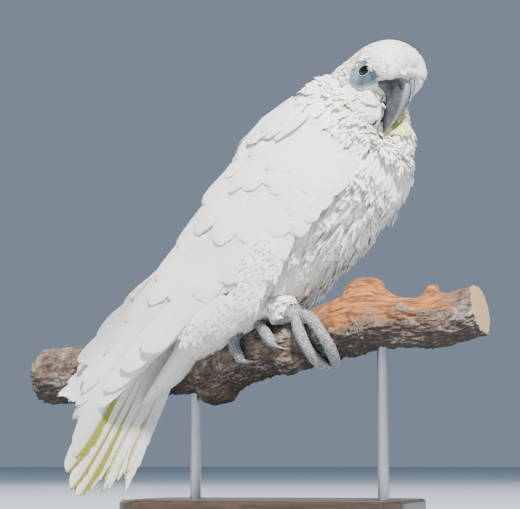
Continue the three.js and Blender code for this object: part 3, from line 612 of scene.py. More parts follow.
def wing_flesh():
    """Points and faces of the right wing's flesh: a sheet between two depths under its face."""
    rows, cols = 60, 24
    a, b = np.meshgrid(np.linspace(0.4, 11.5, rows), np.linspace(0.04, 0.93, cols), indexing="ij")
    depth = np.stack([np.full(a.shape, -0.0022), -0.0065 + 0.0032 * (a / 11.5)])
    points = wing_shell(np.stack([a, a]), np.stack([b, b]), depth).reshape(-1, 3)
    face = grid_faces(rows, cols)
    size = rows * cols
    edge = np.concatenate([np.arange(cols), np.arange(1, rows) * cols + cols - 1,
                           (rows - 1) * cols + np.arange(cols - 2, -1, -1),
                           np.arange(rows - 2, 0, -1) * cols])
    wall = np.stack([edge, edge + size, np.roll(edge, -1) + size, np.roll(edge, -1)], -1)
    return points, [face[:, ::-1], face + size, wall]


thigh_shells = {}
for side, ends in THIGHS.items():
    reach = [THIGH_RADIUS[0] * k for k in (0.3, 0.6, 0.6)] + [THIGH_RADIUS[1]]
    thigh_shells[side] = shell(tube_surface(ends, reach), (0, 1), TURN, outward=-1)
cheek_shells = {side: shell(cheek_surface(sign), TURN, (-1.5, 1.5))
                for side, sign in SIDES.items()}


def swapped(place):
    """The same shell with its two numbers given the other way round."""
    return lambda a, b, height: place(b, a, height)


flesh_parts = [closed_tube(body_shell, (0.2, 8.9), -TRUNK_DEPTH, 90, 64),
               closed_tube(head_shell, (0.3, 10.9), -HEAD_DEPTH, 70, 64),
               closed_tube(vent_shell, (0.1, 3.6), -VENT_DEPTH, 30, 32)]
for place in thigh_shells.values():
    flesh_parts.append(closed_tube(place, (0.05, 0.98), -THIGH_DEPTH, 24, 28))
for place in cheek_shells.values():
    flesh_parts.append(closed_tube(swapped(place), (-1.5, 1.5), -CHEEK_DEPTH, 20, 28))
wing_points, wing_faces = wing_flesh()
flesh_parts.append((wing_points, wing_faces))
flesh_parts.append((left_wing(wing_points), [f[:, ::-1] for f in wing_faces]))

# Down-white skin, blue-grey where it is bare about the eye.
EYE_PLACE = MM * np.array([8.6, 21.8, 1])
skin_finish, tree, shader = finish_of("skin", Roughness=0.7)
skin_place = object_place(tree)
down = speckle(tree, skin_place, 500.0, 3.0)
skin_tone = blended(tree, down, (0.66, 0.64, 0.61, 1), (0.80, 0.79, 0.76, 1))
bare_tone = blended(tree, down, (0.24, 0.30, 0.34, 1), (0.38, 0.44, 0.48, 1))
for sign in (-1, 1):
    spot = on_head(EYE_PLACE * [1, sign, 1])
    gap = node(tree, "VectorMath", {0: skin_place, 1: spot}, operation="DISTANCE").outputs["Value"]
    skin_tone = blended(tree, ramp(tree, gap, 0.012, 0.009), skin_tone, bare_tone)
tree.links.new(skin_tone, shader.inputs["Base Color"])
bump(tree, shader, down, 0.0003, 0.6)


def fused_piece(name, parts, material, voxel, rounds):
    """One piece of parts that overlap, each a pair of points and lists of faces. They are fused
    into a closed surface of that voxel, which is then evened that many times."""
    points, faces, first = [], [], 0
    for part_points, part_faces in parts:
        points.append(part_points)
        faces += [f + first for f in part_faces]
        first += len(part_points)
    piece = mesh_piece(name, np.concatenate(points), faces, material)
    fuse = piece.modifiers.new("fuse", "REMESH")
    fuse.mode = "VOXEL"
    fuse.voxel_size = voxel
    fuse.use_smooth_shade = True
    settle = piece.modifiers.new("settle", "SMOOTH")
    settle.iterations = rounds
    return piece


rough_skin = fused_piece("rough_skin", flesh_parts, skin_finish, SKIN_VOXEL, 3)
bpy.context.view_layer.update()
finished = rough_skin.evaluated_get(bpy.context.evaluated_depsgraph_get())
fused = bpy.data.meshes.new_from_object(finished)
bpy.data.objects.remove(rough_skin)
fused.name = "skin"
skin = bpy.data.objects.new("skin", fused)
bpy.context.scene.collection.objects.link(skin)
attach(skin, "root")
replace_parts(skin, "head", "neck", "trunk", "vent", "thigh_right", "thigh_left")

# ---- Feet ---------------------------------------------------------------------------------
# Bare feet that grip the branch, two toes forward and two back on each. One fused skin to a
# foot, pebbled with small scales by its finish, and a curved horn claw on each toe.

TOE_RADII = MM * np.array([5.6, 5.0, 5.2, 4.6, 4.8, 4.2])
TOE_LIFT = 0.0008
TARSUS_RADIUS = 0.0056
PAD_RADIUS = 0.0064
CLAW_RADIUS = 0.0034
FOOT_VOXEL = 0.0008
# Distance along the branch in mm and degrees round it, from the pad out to each toe's end.
FEET = {
    "right": {"ankle": (13, -27, 163), "pad": (31, 50),
              "toes": [[(31, 50), (31, 88), (35, 132), (41, 174)],
                       [(31, 50), (43, 72), (51, 124), (50, 172)],
                       [(31, 50), (29, 22), (28, -12), (29, -42)],
                       [(31, 50), (22, 26), (15, -6), (11, -36)]],
              "claws": [(44, 202), (48, 200), (30, -66), (10, -60)]},
    "left": {"ankle": (-16, 8, 170), "pad": (-14, -8),
             "toes": [[(-14, -8), (-8, 30), (-1, 62), (6, 92)],
                      [(-14, -8), (-22, 32), (-29, 72), (-24, 108)],
                      [(-14, -8), (-19, -42), (-23, -76), (-24, -106)],
                      [(-14, -8), (-7, -42), (-2, -76), (0, -102)]],
             "claws": [(17, 108), (-6, 118), (-24, -130), (1, -126)]}}
branch_line = branch_middle(np.linspace(0, 1, 400))[0][:, 0]


def on_branch(x, degrees, height):
    """A point on the branch: distance along X, angle from the top towards the bird's right, and
    height off the bark, all in metres and degrees."""
    share_at = lambda x: np.interp(x, branch_line, np.linspace(0, 1, 400))
    c, w = np.cos(np.radians(degrees)), np.sin(np.radians(degrees))
    middle, radius, across, out = branch_middle(share_at(x))
    x = x + (radius[0] + height) * w * across[0]
    middle, radius, across, out = branch_middle(share_at(x))
    return middle - (radius + height) * w * across + (radius + height) * c * out


def path_surface(path, radii, deep=1.0):
    """Surface of a tube along a path, drawn in to a rounded end at each side: its radius runs
    through a list, and deep stretches it away from the branch."""
    table = np.array([radii[0] * 0.3, *radii, radii[-1] * 0.75, radii[-1] * 0.12])[:, None]
    stops = np.array([0, 0.04, *np.linspace(0.10, 0.93, len(radii) - 1), 0.975, 1.0])
    level = np.array([1.0, 0, 0])

    def surface(share, turn):
        at = share * (len(path) - 1)
        run = unit(along_table(path, at + 0.05) - along_table(path, at - 0.05))
        row = np.interp(share, stops, np.arange(len(table)))
        reach = along_table(table, row)
        side = unit(level - (run @ level)[..., None] * run)
        arm = np.cos(turn)[..., None] * side + deep * np.sin(turn)[..., None] * np.cross(run, side)
        return along_table(path, at) + reach * arm
    return surface


foot_finish, tree, shader = finish_of("foot_skin", Roughness=0.62)
foot_place = object_place(tree)
pebbles = node(tree, "TexVoronoi", {"Vector": foot_place, "Scale": 480.0},
               feature="DISTANCE_TO_EDGE").outputs["Distance"]
dust = speckle(tree, foot_place, 260.0, 3.0)
foot_tone = blended(tree, ramp(tree, pebbles, 0.02, 0.16), (0.085, 0.085, 0.09, 1),
                    (0.33, 0.335, 0.335, 1))
foot_tone = blended(tree, ramp(tree, dust, 0.5, 0.7, 0.0, 0.6), foot_tone, (0.44, 0.445, 0.44, 1))
tree.links.new(foot_tone, shader.inputs["Base Color"])
bump(tree, shader, ramp(tree, pebbles, 0.0, 0.25), 0.0006, 0.8)

claw_finish, tree, shader = finish_of("claw_horn", Roughness=0.3, Coat_Weight=0.2)
claw_along = node(tree, "Attribute", attribute_name="along").outputs["Fac"]
claw_streak = speckle(tree, object_place(tree), 300.0, 2.0)
claw_tone = blended(tree, ramp(tree, claw_along, 0.0, 0.55), (0.26, 0.26, 0.27, 1),
                    (0.035, 0.035, 0.040, 1))
claw_tone = blended(tree, ramp(tree, claw_streak, 0.5, 0.7, 0.0, 0.5), claw_tone,
                    (0.13, 0.13, 0.14, 1))
tree.links.new(claw_tone, shader.inputs["Base Color"])
bump(tree, shader, claw_streak, 0.0001, 0.4)


def toe_path(stops):
    """Middle line of a toe: the curve through its stops, laid along the round of the branch and
    a toe's radius off it."""
    table = np.array(stops, float)
    line = []
    for t in np.linspace(0, 1, 10):
        x, degrees = along_table(table, t * (len(table) - 1))
        line.append(on_branch(x * MM, degrees, 0.0047 - 0.001 * t + TOE_LIFT))
    return np.array(line)


for side, foot in FEET.items():
    pad = on_branch(foot["pad"][0] * MM, foot["pad"][1], PAD_RADIUS + 0.0006)
    ankle = MM * np.array(foot["ankle"])
    lift = np.array([0, 0, 0.001])
    leg = np.array([ankle + 0.25 * (ankle - pad), ankle, (ankle + pad) / 2 + lift, pad])
    toes = [toe_path(stops) for stops in foot["toes"]]
    parts = []
    leg_surface = path_surface(leg, [TARSUS_RADIUS, TARSUS_RADIUS * 0.95, PAD_RADIUS * 1.06])
    surfaces = [leg_surface] + [path_surface(path, TOE_RADII) for path in toes]
    for surface in surfaces:
        place = shell(surface, (0, 1), TURN, 1, 90, 60)
        parts.append(closed_tube(place, (0, 1), 0.0, 60, 24))
    foot_skin = fused_piece(f"foot_{side}", parts, foot_finish, FOOT_VOXEL, 4)
    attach(foot_skin, "root")
    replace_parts(foot_skin, f"tarsus_{side}", *[f"toe_{side}_{k}" for k in (1, 2, 3, 4)])

    # The claws: horn cones that curve round to the bark, pale at the root and dark at the tip.
    for k, ((tip_x, tip_degrees), path) in enumerate(zip(foot["claws"], toes)):
        run = unit(path[-1] - path[-2])
        tip = on_branch(tip_x * MM, tip_degrees, 0.0012)
        start = path[-1] - 0.002 * run
        bend = path[-1] + 0.0045 * run
        t = np.linspace(0, 1, 12)[:, None]
        line = (1 - t) ** 2 * start + 2 * t * (1 - t) * bend + t * t * tip
        radii = CLAW_RADIUS * (1 - 0.82 * np.linspace(0, 1, 6))
        place = shell(path_surface(line, radii, 1.15), (0, 1), TURN, 1, 40, 40)
        points, faces = closed_tube(place, (0, 1), 0.0, 26, 16)
        claw = mesh_piece(f"claw_{side}_{k + 1}_horn", points, faces, claw_finish)
        mesh_values(claw, along=np.repeat(np.linspace(0, 1, 26), 16))
        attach(claw, "root")
        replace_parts(claw, f"claw_{side}_{k + 1}")

# ---- Bill ---------------------------------------------------------------------------------
# A hooked bill of slate-black horn, powdery with feather dust, paler along its ridge where feather
# dust and a painted highlight lie together, and faintly ringed by growth. Both halves are rooted in
# the head, and the lower one tucks up inside the upper one.

BILL_UPPER = MM * np.array([  # ridge x and z, inner edge x and z, half-width, in the head's frame
    [17, 1.5, 9, -13, 15], [25, 2.8, 15, -13, 15], [31, 2.7, 18.5, -13, 14],
    [35.2, -1.5, 21, -15.5, 12.6], [37.3, -9, 22.4, -20, 10.6], [36.9, -18, 23, -26, 8.2],
    [34.4, -26.5, 23, -32, 5.8], [31, -35, 23.2, -38, 3.4], [26.8, -43, 24.6, -42.6, 1.0],
    [26.0, -43.9, 25.4, -43.7, 0.2]])
BILL_LOWER = MM * np.array([  # upper edge x and z, lower edge x and z, half-width
    [8, -12, 6, -20, 9], [13, -15, 9, -27, 10], [16.5, -20, 12.5, -33, 9], [19, -26, 16.5, -36, 7],
    [20.5, -32, 19.5, -36.5, 4], [20.9, -34, 20.4, -36.4, 1.5]])

bill_finish, tree, shader = finish_of("bill_horn", Roughness=0.42)
bill_place = object_place(tree)
ridge = node(tree, "Attribute", attribute_name="ridge").outputs["Fac"]
bill_along = node(tree, "Attribute", attribute_name="along").outputs["Fac"]
powder = speckle(tree, bill_place, 420.0, 4.0, 0.65)
cloud = speckle(tree, bill_place, 110.0, 3.0)
rings = worked(tree, "MULTIPLY_ADD", cloud, 0.10, bill_along)
rings = worked(tree, "SINE", worked(tree, "MULTIPLY", rings, 120.0))
horn = blended(tree, ramp(tree, cloud, 0.35, 0.65), (0.030, 0.032, 0.037, 1),
               (0.085, 0.090, 0.100, 1))
dust_and_highlight = blended(tree, powder, (0.17, 0.18, 0.19, 1), (0.36, 0.37, 0.38, 1))
# Painted highlight with feather dust: the ridge is paler along its top.
horn = blended(tree, ramp(tree, ridge, 0.80, 0.97), horn, dust_and_highlight)
horn = blended(tree, ramp(tree, powder, 0.56, 0.72, 0.0, 0.3), horn, dust_and_highlight)
tree.links.new(horn, shader.inputs["Base Color"])
tree.links.new(ramp(tree, ridge, 0.4, 0.95, 0.35, 0.62), shader.inputs["Roughness"])
bump(tree, shader, blended(tree, 0.55, powder, rings), 0.00022, 0.5)


def bill_half(name, table, squareness):
    """Half a bill: along its rows, a superellipse between the ridge and the inner edge, as wide
    as the row says. Its ridge value is 1 on the ridge and falls to 0 at the inner edge."""
    rows, cols = 56, 40
    at, turn = np.meshgrid(np.linspace(0, len(table) - 1, rows),
                           np.linspace(0, 2 * np.pi, cols, False), indexing="ij")
    ridge_x, ridge_z, inner_x, inner_z, half = np.moveaxis(along_table(table, at), -1, 0)
    c, w = superellipse(turn, squareness)
    wide = half * (1 - 0.30 * np.clip(c, 0, 1) ** 2)
    points = np.stack([(ridge_x + inner_x) / 2 + c * (ridge_x - inner_x) / 2, w * wide,
                       (ridge_z + inner_z) / 2 + c * (ridge_z - inner_z) / 2], -1)
    caps = [np.arange(cols)[None], ((rows - 1) * cols + np.arange(cols))[None, ::-1]]
    piece = mesh_piece(name, on_head(points).reshape(-1, 3),
                       [grid_faces(rows, cols, True)[:, ::-1], *caps], bill_finish)
    mesh_values(piece, ridge=np.cos(turn), along=at / (len(table) - 1))
    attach(piece, "root")
    return piece


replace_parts(bill_half("bill_upper_horn", BILL_UPPER, 2.15), "bill_upper")
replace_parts(bill_half("bill_lower_horn", BILL_LOWER, 2.1), "bill_lower")

# ---- Eyes ---------------------------------------------------------------------------------
# Glass eyes, near black with a dark brown iris, each set in a pale blue-white wrinkled lid that
# fades into the bare blue skin round it.

EYE_RADIUS = 0.0054
EYE_ROWS = 34
EYE_COLS = 36
LID_COLS = 72
# Distance from the eye's middle and height over the head's outline, round the lid's section.
LID_SECTION = MM * np.array([
    [4.62, -3.4], [4.64, -2.4], [4.7, -1.5], [4.82, -0.9], [5.0, -0.55], [5.2, -0.45],
    [5.5, -0.45], [5.8, -0.8], [6.4, -0.9], [7.2, -0.7], [8.4, -0.7], [9.8, -1.0], [12.0, -2.6],
    [11.6, -3.4], [8.0, -3.9], [5.8, -4.3], [4.8, -4.3]])
BARE_BELOW = 0.95  # how much further the bare skin reaches below the eye than above it

eye_finish, tree, shader = finish_of("eye_glass", Roughness=0.04, Coat_Weight=0.1,
                                     Coat_Roughness=0.02, Specular_IOR_Level=0.2)
eye_ring_at = node(tree, "Attribute", attribute_name="ring").outputs["Fac"]
iris = blended(tree, ramp(tree, eye_ring_at, 0.42, 0.50), (0.002, 0.002, 0.002, 1),
               (0.006, 0.003, 0.002, 1))
iris = blended(tree, ramp(tree, eye_ring_at, 0.95, 1.1), iris, (0.004, 0.003, 0.003, 1))
tree.links.new(iris, shader.inputs["Base Color"])

lid_finish, tree, shader = finish_of("lid_skin", Roughness=0.5)
lid_place = object_place(tree)
lid_ring = node(tree, "Attribute", attribute_name="ring").outputs["Fac"]
wrinkle = speckle(tree, lid_place, 900.0, 3.0)
lid_tone = blended(tree, wrinkle, (0.28, 0.37, 0.46, 1), (0.56, 0.65, 0.72, 1))
bare_skin = blended(tree, wrinkle, (0.028, 0.066, 0.098, 1), (0.072, 0.135, 0.178, 1))
lid_tone = blended(tree, ramp(tree, lid_ring, 0.0053, 0.0058), lid_tone, bare_skin)
pale_skin = blended(tree, wrinkle, (0.17, 0.235, 0.26, 1), (0.32, 0.385, 0.40, 1))
lid_ahead = node(tree, "Attribute", attribute_name="ahead").outputs["Fac"]
pale = worked(tree, "MAXIMUM", ramp(tree, lid_ring, 0.0088, 0.0105),
              ramp(tree, lid_ahead, 0.0, -0.7, 0.0, 0.75))
pale = worked(tree, "MULTIPLY", pale, ramp(tree, lid_ring, 0.0056, 0.0066))
lid_tone = blended(tree, pale, lid_tone, pale_skin)
# Painted shade: the lid's inner wall, where it turns in to the eye, goes near black.
lid_tone = blended(tree, ramp(tree, lid_ring, 0.00505, 0.00485), lid_tone, (0.03, 0.035, 0.04, 1))
tree.links.new(lid_tone, shader.inputs["Base Color"])
bump(tree, shader, wrinkle, 0.00025, 0.7)

# Each eye looks out through the point of the head's surface nearest to its outer side.
a, b = np.meshgrid(np.linspace(4, 8, 160), np.linspace(0.6, 2.4, 160), indexing="ij")
gap = np.linalg.norm(head_surface(a, b) - on_head(EYE_PLACE + [0, EYE_RADIUS, 0]), axis=-1)
eye_a, eye_b = a.flat[np.argmin(gap)], b.flat[np.argmin(gap)]
for side, sign in SIDES.items():
    centre = on_head(EYE_PLACE * [1, sign, 1])
    window = head_shell(np.array([eye_a]), np.array([sign * eye_b]), np.array([0.0]))[0]
    axis = unit(window - centre)
    centre = centre + 0.0003 * axis
    level = unit(np.cross([0, 0, 1.0], axis))
    rise = np.cross(axis, level)
    # A ball, by the angle from its front and the turn about its axis, bulged in front.
    polar, turn = np.meshgrid(np.linspace(0.002, np.pi - 0.002, EYE_ROWS),
                              np.linspace(0, 2 * np.pi, EYE_COLS, False), indexing="ij")
    ball = (np.cos(polar)[..., None] * axis + np.sin(polar)[..., None]
            * (np.cos(turn)[..., None] * level + np.sin(turn)[..., None] * rise))
    bulge = 1 + 0.05 * np.exp(-((polar / 0.5) ** 2))
    ball = (centre + EYE_RADIUS * bulge[..., None] * ball).reshape(-1, 3)
    front = np.arange(EYE_COLS)[None]
    back = ((EYE_ROWS - 1) * EYE_COLS + np.arange(EYE_COLS))[None, ::-1]
    eye = mesh_piece(f"eye_{side}_glass", ball,
                     [grid_faces(EYE_ROWS, EYE_COLS, True)[:, ::-1], front, back], eye_finish)
    mesh_values(eye, ring=polar)
    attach(eye, "root")
    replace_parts(eye, f"eye_{side}")

    # The lid and the bare skin: the section carried round the eye and laid on the head's own
    # surface, drawn out most below the eye, and finely creased.
    ring, turn = np.meshgrid(np.arange(len(LID_SECTION) * 2) / 2,
                             np.linspace(0, 2 * np.pi, LID_COLS, False), indexing="ij")
    closed = np.concatenate([LID_SECTION, LID_SECTION[:1]])
    reach, height = np.moveaxis(along_table(closed, ring), -1, 0)
    spot_a, spot_b = np.full(ring.shape, eye_a), np.full(ring.shape, sign * eye_b)
    nil = 0 * ring
    run_a = (head_shell(spot_a + 0.05, spot_b, nil) - head_shell(spot_a - 0.05, spot_b, nil)) / 0.1
    run_b = (head_shell(spot_a, spot_b + 0.05, nil) - head_shell(spot_a, spot_b - 0.05, nil)) / 0.1
    tall = 1 + 0.06 * np.cos(2 * turn) * np.clip((0.0065 - reach) / 0.0025, 0, 1)
    across = reach * np.cos(turn) / np.linalg.norm(run_a, axis=-1)
    up = reach * tall * np.sin(turn) / np.linalg.norm(run_b, axis=-1)
    crease = 0.00012 * np.sin(11 * turn + 3 * np.sin(3 * turn)) * np.clip(reach / 0.005 - 0.8, 0, 1)
    outer = smooth_step((reach - 0.0058) / 0.004)
    drop = outer * np.clip(-np.sin(turn), 0, 1) ** 0.7
    up = up * (1 + BARE_BELOW * drop)
    across = across * (1.08 + 0.22 * outer)
    points = head_shell(spot_a + across, spot_b - sign * up, height + crease)
    seam = np.arange(LID_COLS)
    beside = (seam + 1) % LID_COLS
    last_row = (len(ring) - 1) * LID_COLS
    join = np.stack([last_row + seam, last_row + beside, beside, seam], -1)
    faces = np.concatenate([grid_faces(len(ring), LID_COLS, True), join])
    lid = mesh_piece(f"lid_{side}", points.reshape(-1, 3), faces if sign > 0 else faces[:, ::-1],
                     lid_finish)
    mesh_values(lid, ring=reach, ahead=np.cos(turn))
    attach(lid, "root")
    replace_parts(lid, f"eye_ring_{side}")

# ---- Feathers of the breast and belly -----------------------------------------------------
# Soft white contour feathers with loose ends. Each is a thin closed vane fixed in the skin at
# its root; it follows the body's own curve and overlaps the row behind it like roof tiles.


def feather_finish(name, tone, shade, roughness=0.72, wash=(0.62, 0.60, 0.22, 1)):
    """A white feather: painted shade greys it towards its root, where the feathers over it lie, and
    it greys a little at random from one feather to the next, with fine barbs that slant away from
    the shaft. It reads the vanes' own values."""
    material, tree, shader = finish_of(name, Roughness=roughness, Sheen_Weight=0.12,
                                       Sheen_Roughness=0.5)
    along = node(tree, "Attribute", attribute_name="along").outputs["Fac"]
    chance = node(tree, "Attribute", attribute_name="chance").outputs["Fac"]
    tint = node(tree, "Attribute", attribute_name="tint").outputs["Fac"]
    # Painted shade: the shade colour at the root fades into the tone towards the tip.
    mixed = blended(tree, ramp(tree, along, 0.1, 0.75), shade, tone)
    grey = tuple(0.93 * c for c in tone[:3]) + (1,)
    mixed = blended(tree, ramp(tree, chance, 0.0, 1.0, 0.0, 0.8), mixed, grey)
    mixed = blended(tree, ramp(tree, tint, 0.25, 0.55), mixed, wash)
    tree.links.new(ramp(tree, chance, 0, 1, roughness - 0.06, roughness + 0.06),
                   shader.inputs["Roughness"])
    vane = node(tree, "UVMap", uv_map="Vane").outputs["UV"]
    split = node(tree, "SeparateXYZ", {0: vane})
    side = worked(tree, "ABSOLUTE", split.outputs[0])
    slant = worked(tree, "SUBTRACT", split.outputs[1], side)
    across = node(tree, "CombineXYZ", {0: slant, 1: worked(tree, "MULTIPLY", side, 0.12)})
    barbs = speckle(tree, across.outputs[0], 1100.0, 2.0)
    between_barbs = ramp(tree, barbs, 0.40, 0.66, 0.0, 0.75)
    on_shaft = ramp(tree, side, 0.0001, 0.0004, 0.6, 0.0)
    for share in (between_barbs, on_shaft):
        inputs = {0: share, 6: mixed, 7: (0.84, 0.84, 0.85, 1)}
        mixed = node(tree, "Mix", inputs, data_type="RGBA", blend_type="MULTIPLY").outputs[2]
    tree.links.new(mixed, shader.inputs["Base Color"])
    bump(tree, shader, barbs, 0.0003, 0.8)
    return material


VANE_VALUES = ("along", "chance", "tint", "rim", "bake", "vane")


def lay_vanes(place, a, b, rng, aim=0.0, length=0.02, width=0.012, root=-0.006, tip=0.0,
              thick=0.0005, camber=0.10, point=0.5, rag=0.0, lean=0.0, curl=0.0, stations=6,
              broad=False, tint=0.0, tint_side=0, patch=None):
    """Vanes rooted at places (a, b) of a shell.

    Across, each section is a lens of four corners, or six on a broad vane: two edges, a raised
    middle and an underside. Along, its half-width swells from the root and rounds off from a
    share called point. Its height over the shell goes from root to tip, plus lean times the way
    across, plus curl times the square of the way along. Every corner is then placed on the shell
    itself, so the vane bends as the body does. rag is how torn its edges are, and tint_side is
    the one web that a tint keeps to. On the bake map a vane lies where its root lies between
    the ends that patch gives. Length, width, aim and the rest may be one number or one for
    each vane."""
    count = len(a)
    number = lambda value: np.broadcast_to(np.asarray(value, float), (count,))[:, None, None]
    u = np.array([-1, -0.5, 0, 0.5, 1, 0] if broad else [-1, 0, 1, 0])
    t = np.array([0, 0.4, 0.5, 0.4, 0, -0.5] if broad else [0, 0.5, 0, -0.5])
    v = (1 - (1 - np.linspace(0, 1, stations + 1)) ** 1.4)[None, :, None]
    swell = np.clip(0.35 + 2.2 * v, 0, 1)
    past = np.clip((v - number(point)) / (1 - number(point)), 0, 1)
    half = swell * np.sqrt(np.clip(1 - past ** 2.2, 0.006, 1)) * number(width) / 2
    edge = np.abs(u) ** 4
    jag = rng.uniform(-1, 1, (count, stations + 1, len(u))) * edge * number(rag)
    y = u * half * (1 + 0.5 * jag)
    x = v * number(length) * (1 + 0.35 * jag * v)
    rise = number(root) + (number(tip) - number(root)) * v ** 1.2 + number(curl) * v ** 2
    height = rise + camber * 2 * half * (1 - u * u) + number(lean) * y + t * thick
    height = height + 0.25 * number(width) * jag * v * 0.5
    step = 0.03
    zero = np.zeros(count)
    run_a = (place(a + step, b, zero) - place(a - step, b, zero)) / (2 * step)
    run_b = (place(a, b + step, zero) - place(a, b - step, zero)) / (2 * step)
    ahead = unit(run_a)
    beside = unit(run_b - (run_b * ahead).sum(-1, keepdims=True) * ahead)
    aim = np.broadcast_to(np.asarray(aim, float), (count,))[:, None]
    out = np.cos(aim) * ahead + np.sin(aim) * beside
    over = np.cos(aim) * beside - np.sin(aim) * ahead
    dot = lambda p, q: (p * q).sum(-1)
    aa, ab, bb = dot(run_a, run_a), dot(run_a, run_b), dot(run_b, run_b)
    area = aa * bb - ab * ab
    turned = lambda d: ((bb * dot(run_a, d) - ab * dot(run_b, d)) / area,
                        (aa * dot(run_b, d) - ab * dot(run_a, d)) / area)
    (out_a, out_b), (over_a, over_b) = turned(out), turned(over)
    spread = lambda k: k[:, None, None]
    at_a = spread(a) + x * spread(out_a) + y * spread(over_a)
    at_b = spread(b) + x * spread(out_b) + y * spread(over_b)
    points = place(at_a, at_b, height)
    size = (stations + 1) * len(u)
    last = stations * len(u)
    caps = np.array([[3, 2, 1, 0]]) if not broad else np.array([[5, 2, 1, 0], [5, 4, 3, 2]])
    faces = np.concatenate([grid_faces(stations + 1, len(u), True), caps, caps[:, ::-1] + last])
    normal = place(a, b, zero + 1) - place(a, b, zero)
    if dot(np.cross(run_a, run_b), normal).mean() > 0:
        faces = faces[:, ::-1]
    shape = (count, stations + 1, len(u))
    washed = np.clip(2 * u * tint_side - 0.35, 0, 1) if tint_side else 1.0
    low_a, high_a, low_b, high_b = patch or (a.min(), a.max(), b.min(), b.max())
    share_a = (a - low_a) / (high_a - low_a + 1e-9)
    share_b = (b - low_b) / (high_b - low_b + 1e-9)
    root_uv = np.stack([share_a, share_b], -1)
    local = np.stack(np.broadcast_arrays(u / 2 + 0.5, v), -1)
    bake = 0.004 + 0.988 * np.clip(root_uv, 0, 1)[:, None, None] + 0.003 * local
    return {"points": points.reshape(-1, 3), "size": size, "count": count, "faces": faces,
            "along": np.broadcast_to(v, shape).ravel(),
            "chance": np.broadcast_to(rng.uniform(0, 1, count)[:, None, None], shape).ravel(),
            "tint": np.broadcast_to(number(tint) * washed, shape).ravel(),
            "rim": np.broadcast_to(np.where(u < -0.9, 1, np.where(u > 0.9, 2, 0)), shape).ravel(),
            "bake": np.broadcast_to(bake, (*shape, 2)).reshape(-1, 2),
            "vane": np.stack(np.broadcast_arrays(y, x), -1).reshape(-1, 2)}


def without(vanes, dropped):
    """The same vanes less some, given as one true or false to a vane."""
    kept = np.repeat(~dropped, vanes["size"])
    lists = {key: vanes[key][kept] for key in ("points", *VANE_VALUES)}
    return {**vanes, **lists, "count": int((~dropped).sum())}


def clear_of_bill(vanes, share=1.0):
    """The same vanes less those that would lie over the bill."""
    points = vanes["points"].reshape(vanes["count"], vanes["size"], 3)
    covers = np.zeros(vanes["count"], bool)
    for middle, radius in zip(rest_middles, rest_radii * share):
        gap = points - middle
        out = gap @ rest_out
        beside = np.linalg.norm(gap - out[..., None] * rest_out, axis=-1)
        covers |= ((beside < radius) & (out > -0.004)).any(-1)
    return without(vanes, covers)


def coat_piece(name, sets, material, slot, *replaced):
    """One mesh of all the vanes in some sets, with their values, both UV maps and sharp rims."""
    points = np.concatenate([s["points"] for s in sets])
    faces, first = [], 0
    for s in sets:
        starts = first + s["size"] * np.arange(s["count"])
        faces.append((starts[:, None, None] + s["faces"][None]).reshape(-1, 4))
        first += s["size"] * s["count"]
    piece = mesh_piece(name, points, faces, material)
    mesh = piece.data
    merged = {key: np.concatenate([s[key] for s in sets]) for key in VANE_VALUES}
    mesh_values(piece, **{key: merged[key] for key in ("along", "chance", "tint")})
    corner = np.empty(len(mesh.loops), np.int32)
    mesh.loops.foreach_get("vertex_index", corner)
    for map_name, key in (("OFBake", "bake"), ("Vane", "vane")):
        layer = mesh.uv_layers.new(name=map_name)
        layer.data.foreach_set("uv", merged[key][corner].astype(np.float32).ravel())
    ends = np.empty(2 * len(mesh.edges), np.int32)
    mesh.edges.foreach_get("vertices", ends)
    rim = merged["rim"][ends.reshape(-1, 2)]
    sharp = mesh.attributes.new("sharp_edge", "BOOLEAN", "EDGE")
    sharp.data.foreach_set("value", (rim[:, 0] == rim[:, 1]) & (rim[:, 0] > 0))
    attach(piece, "root")
    if replaced:
        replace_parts(piece, *replaced)
    return piece


def distances(points):
    """How far along a line of points each one lies from the first."""
    steps = np.linalg.norm(np.diff(points, axis=0), axis=-1)
    return np.concatenate([[0], np.cumsum(steps)])


def tiled(place, a_ends, b_ends, gap_a, gap_b, rng, keep=None, jitter=0.3):
    """Roots in staggered rows over part of a shell: rows gap_a apart along it, roots gap_b apart
    in each row, both measured on the surface. keep(a, b) may drop some."""
    stops = 160
    line = np.linspace(*a_ends, stops)
    centre = np.full(stops, (b_ends[0] + b_ends[1]) / 2)
    way = distances(place(line, centre, 0 * line))
    rows = np.interp(np.arange(0, way[-1], gap_a), way, line)
    every_a, every_b = [], []
    for count, row in enumerate(rows):
        across = np.linspace(*b_ends, stops)
        step = distances(place(np.full(stops, row), across, 0 * across))
        shift = (0.5 if count % 2 else 0.0) + rng.uniform(-0.1, 0.1)
        every_b.append(np.interp(np.arange(shift * gap_b, step[-1], gap_b), step, across))
        every_a.append(np.full(len(every_b[-1]), row))
    a, b = np.concatenate(every_a), np.concatenate(every_b)
    a = a + rng.uniform(-jitter, jitter, len(a)) * (rows[1] - rows[0])
    b = b + rng.uniform(-jitter, jitter, len(b)) * (b_ends[1] - b_ends[0]) * gap_b / step[-1]
    if keep is not None:
        kept = keep(a, b)
        a, b = a[kept], b[kept]
    return a, b


def locks(place, a, b, rng, fan, count, aim, length, **shape):
    """Loose-ended feathers: each root carries a fan of narrow pointed vanes, so that its end
    breaks up into locks of barbs."""
    made = []
    for k in np.linspace(-1, 1, count):
        some = rng.uniform(0.75, 1.08, len(a)) * (1 - 0.12 * k * k)
        fanned = aim + fan * (k + rng.uniform(-0.35, 0.35, len(a)))
        made.append(lay_vanes(place, a, b, rng, aim=fanned, length=length * some, **shape))
    return made


rng = np.random.default_rng(11)
white_feather = feather_finish("white_feather", (0.93, 0.905, 0.85, 1), (0.76, 0.745, 0.715, 1))

# The breast and belly lie between the wings, in front; the ruffles come in clumps some 20 mm
# across that stand out and lean together.
EDGE_OF_FRONT = 2.0
STAIN_PLACE = [0.101, -0.018, 0.333]
STAIN_RADIUS = 0.009


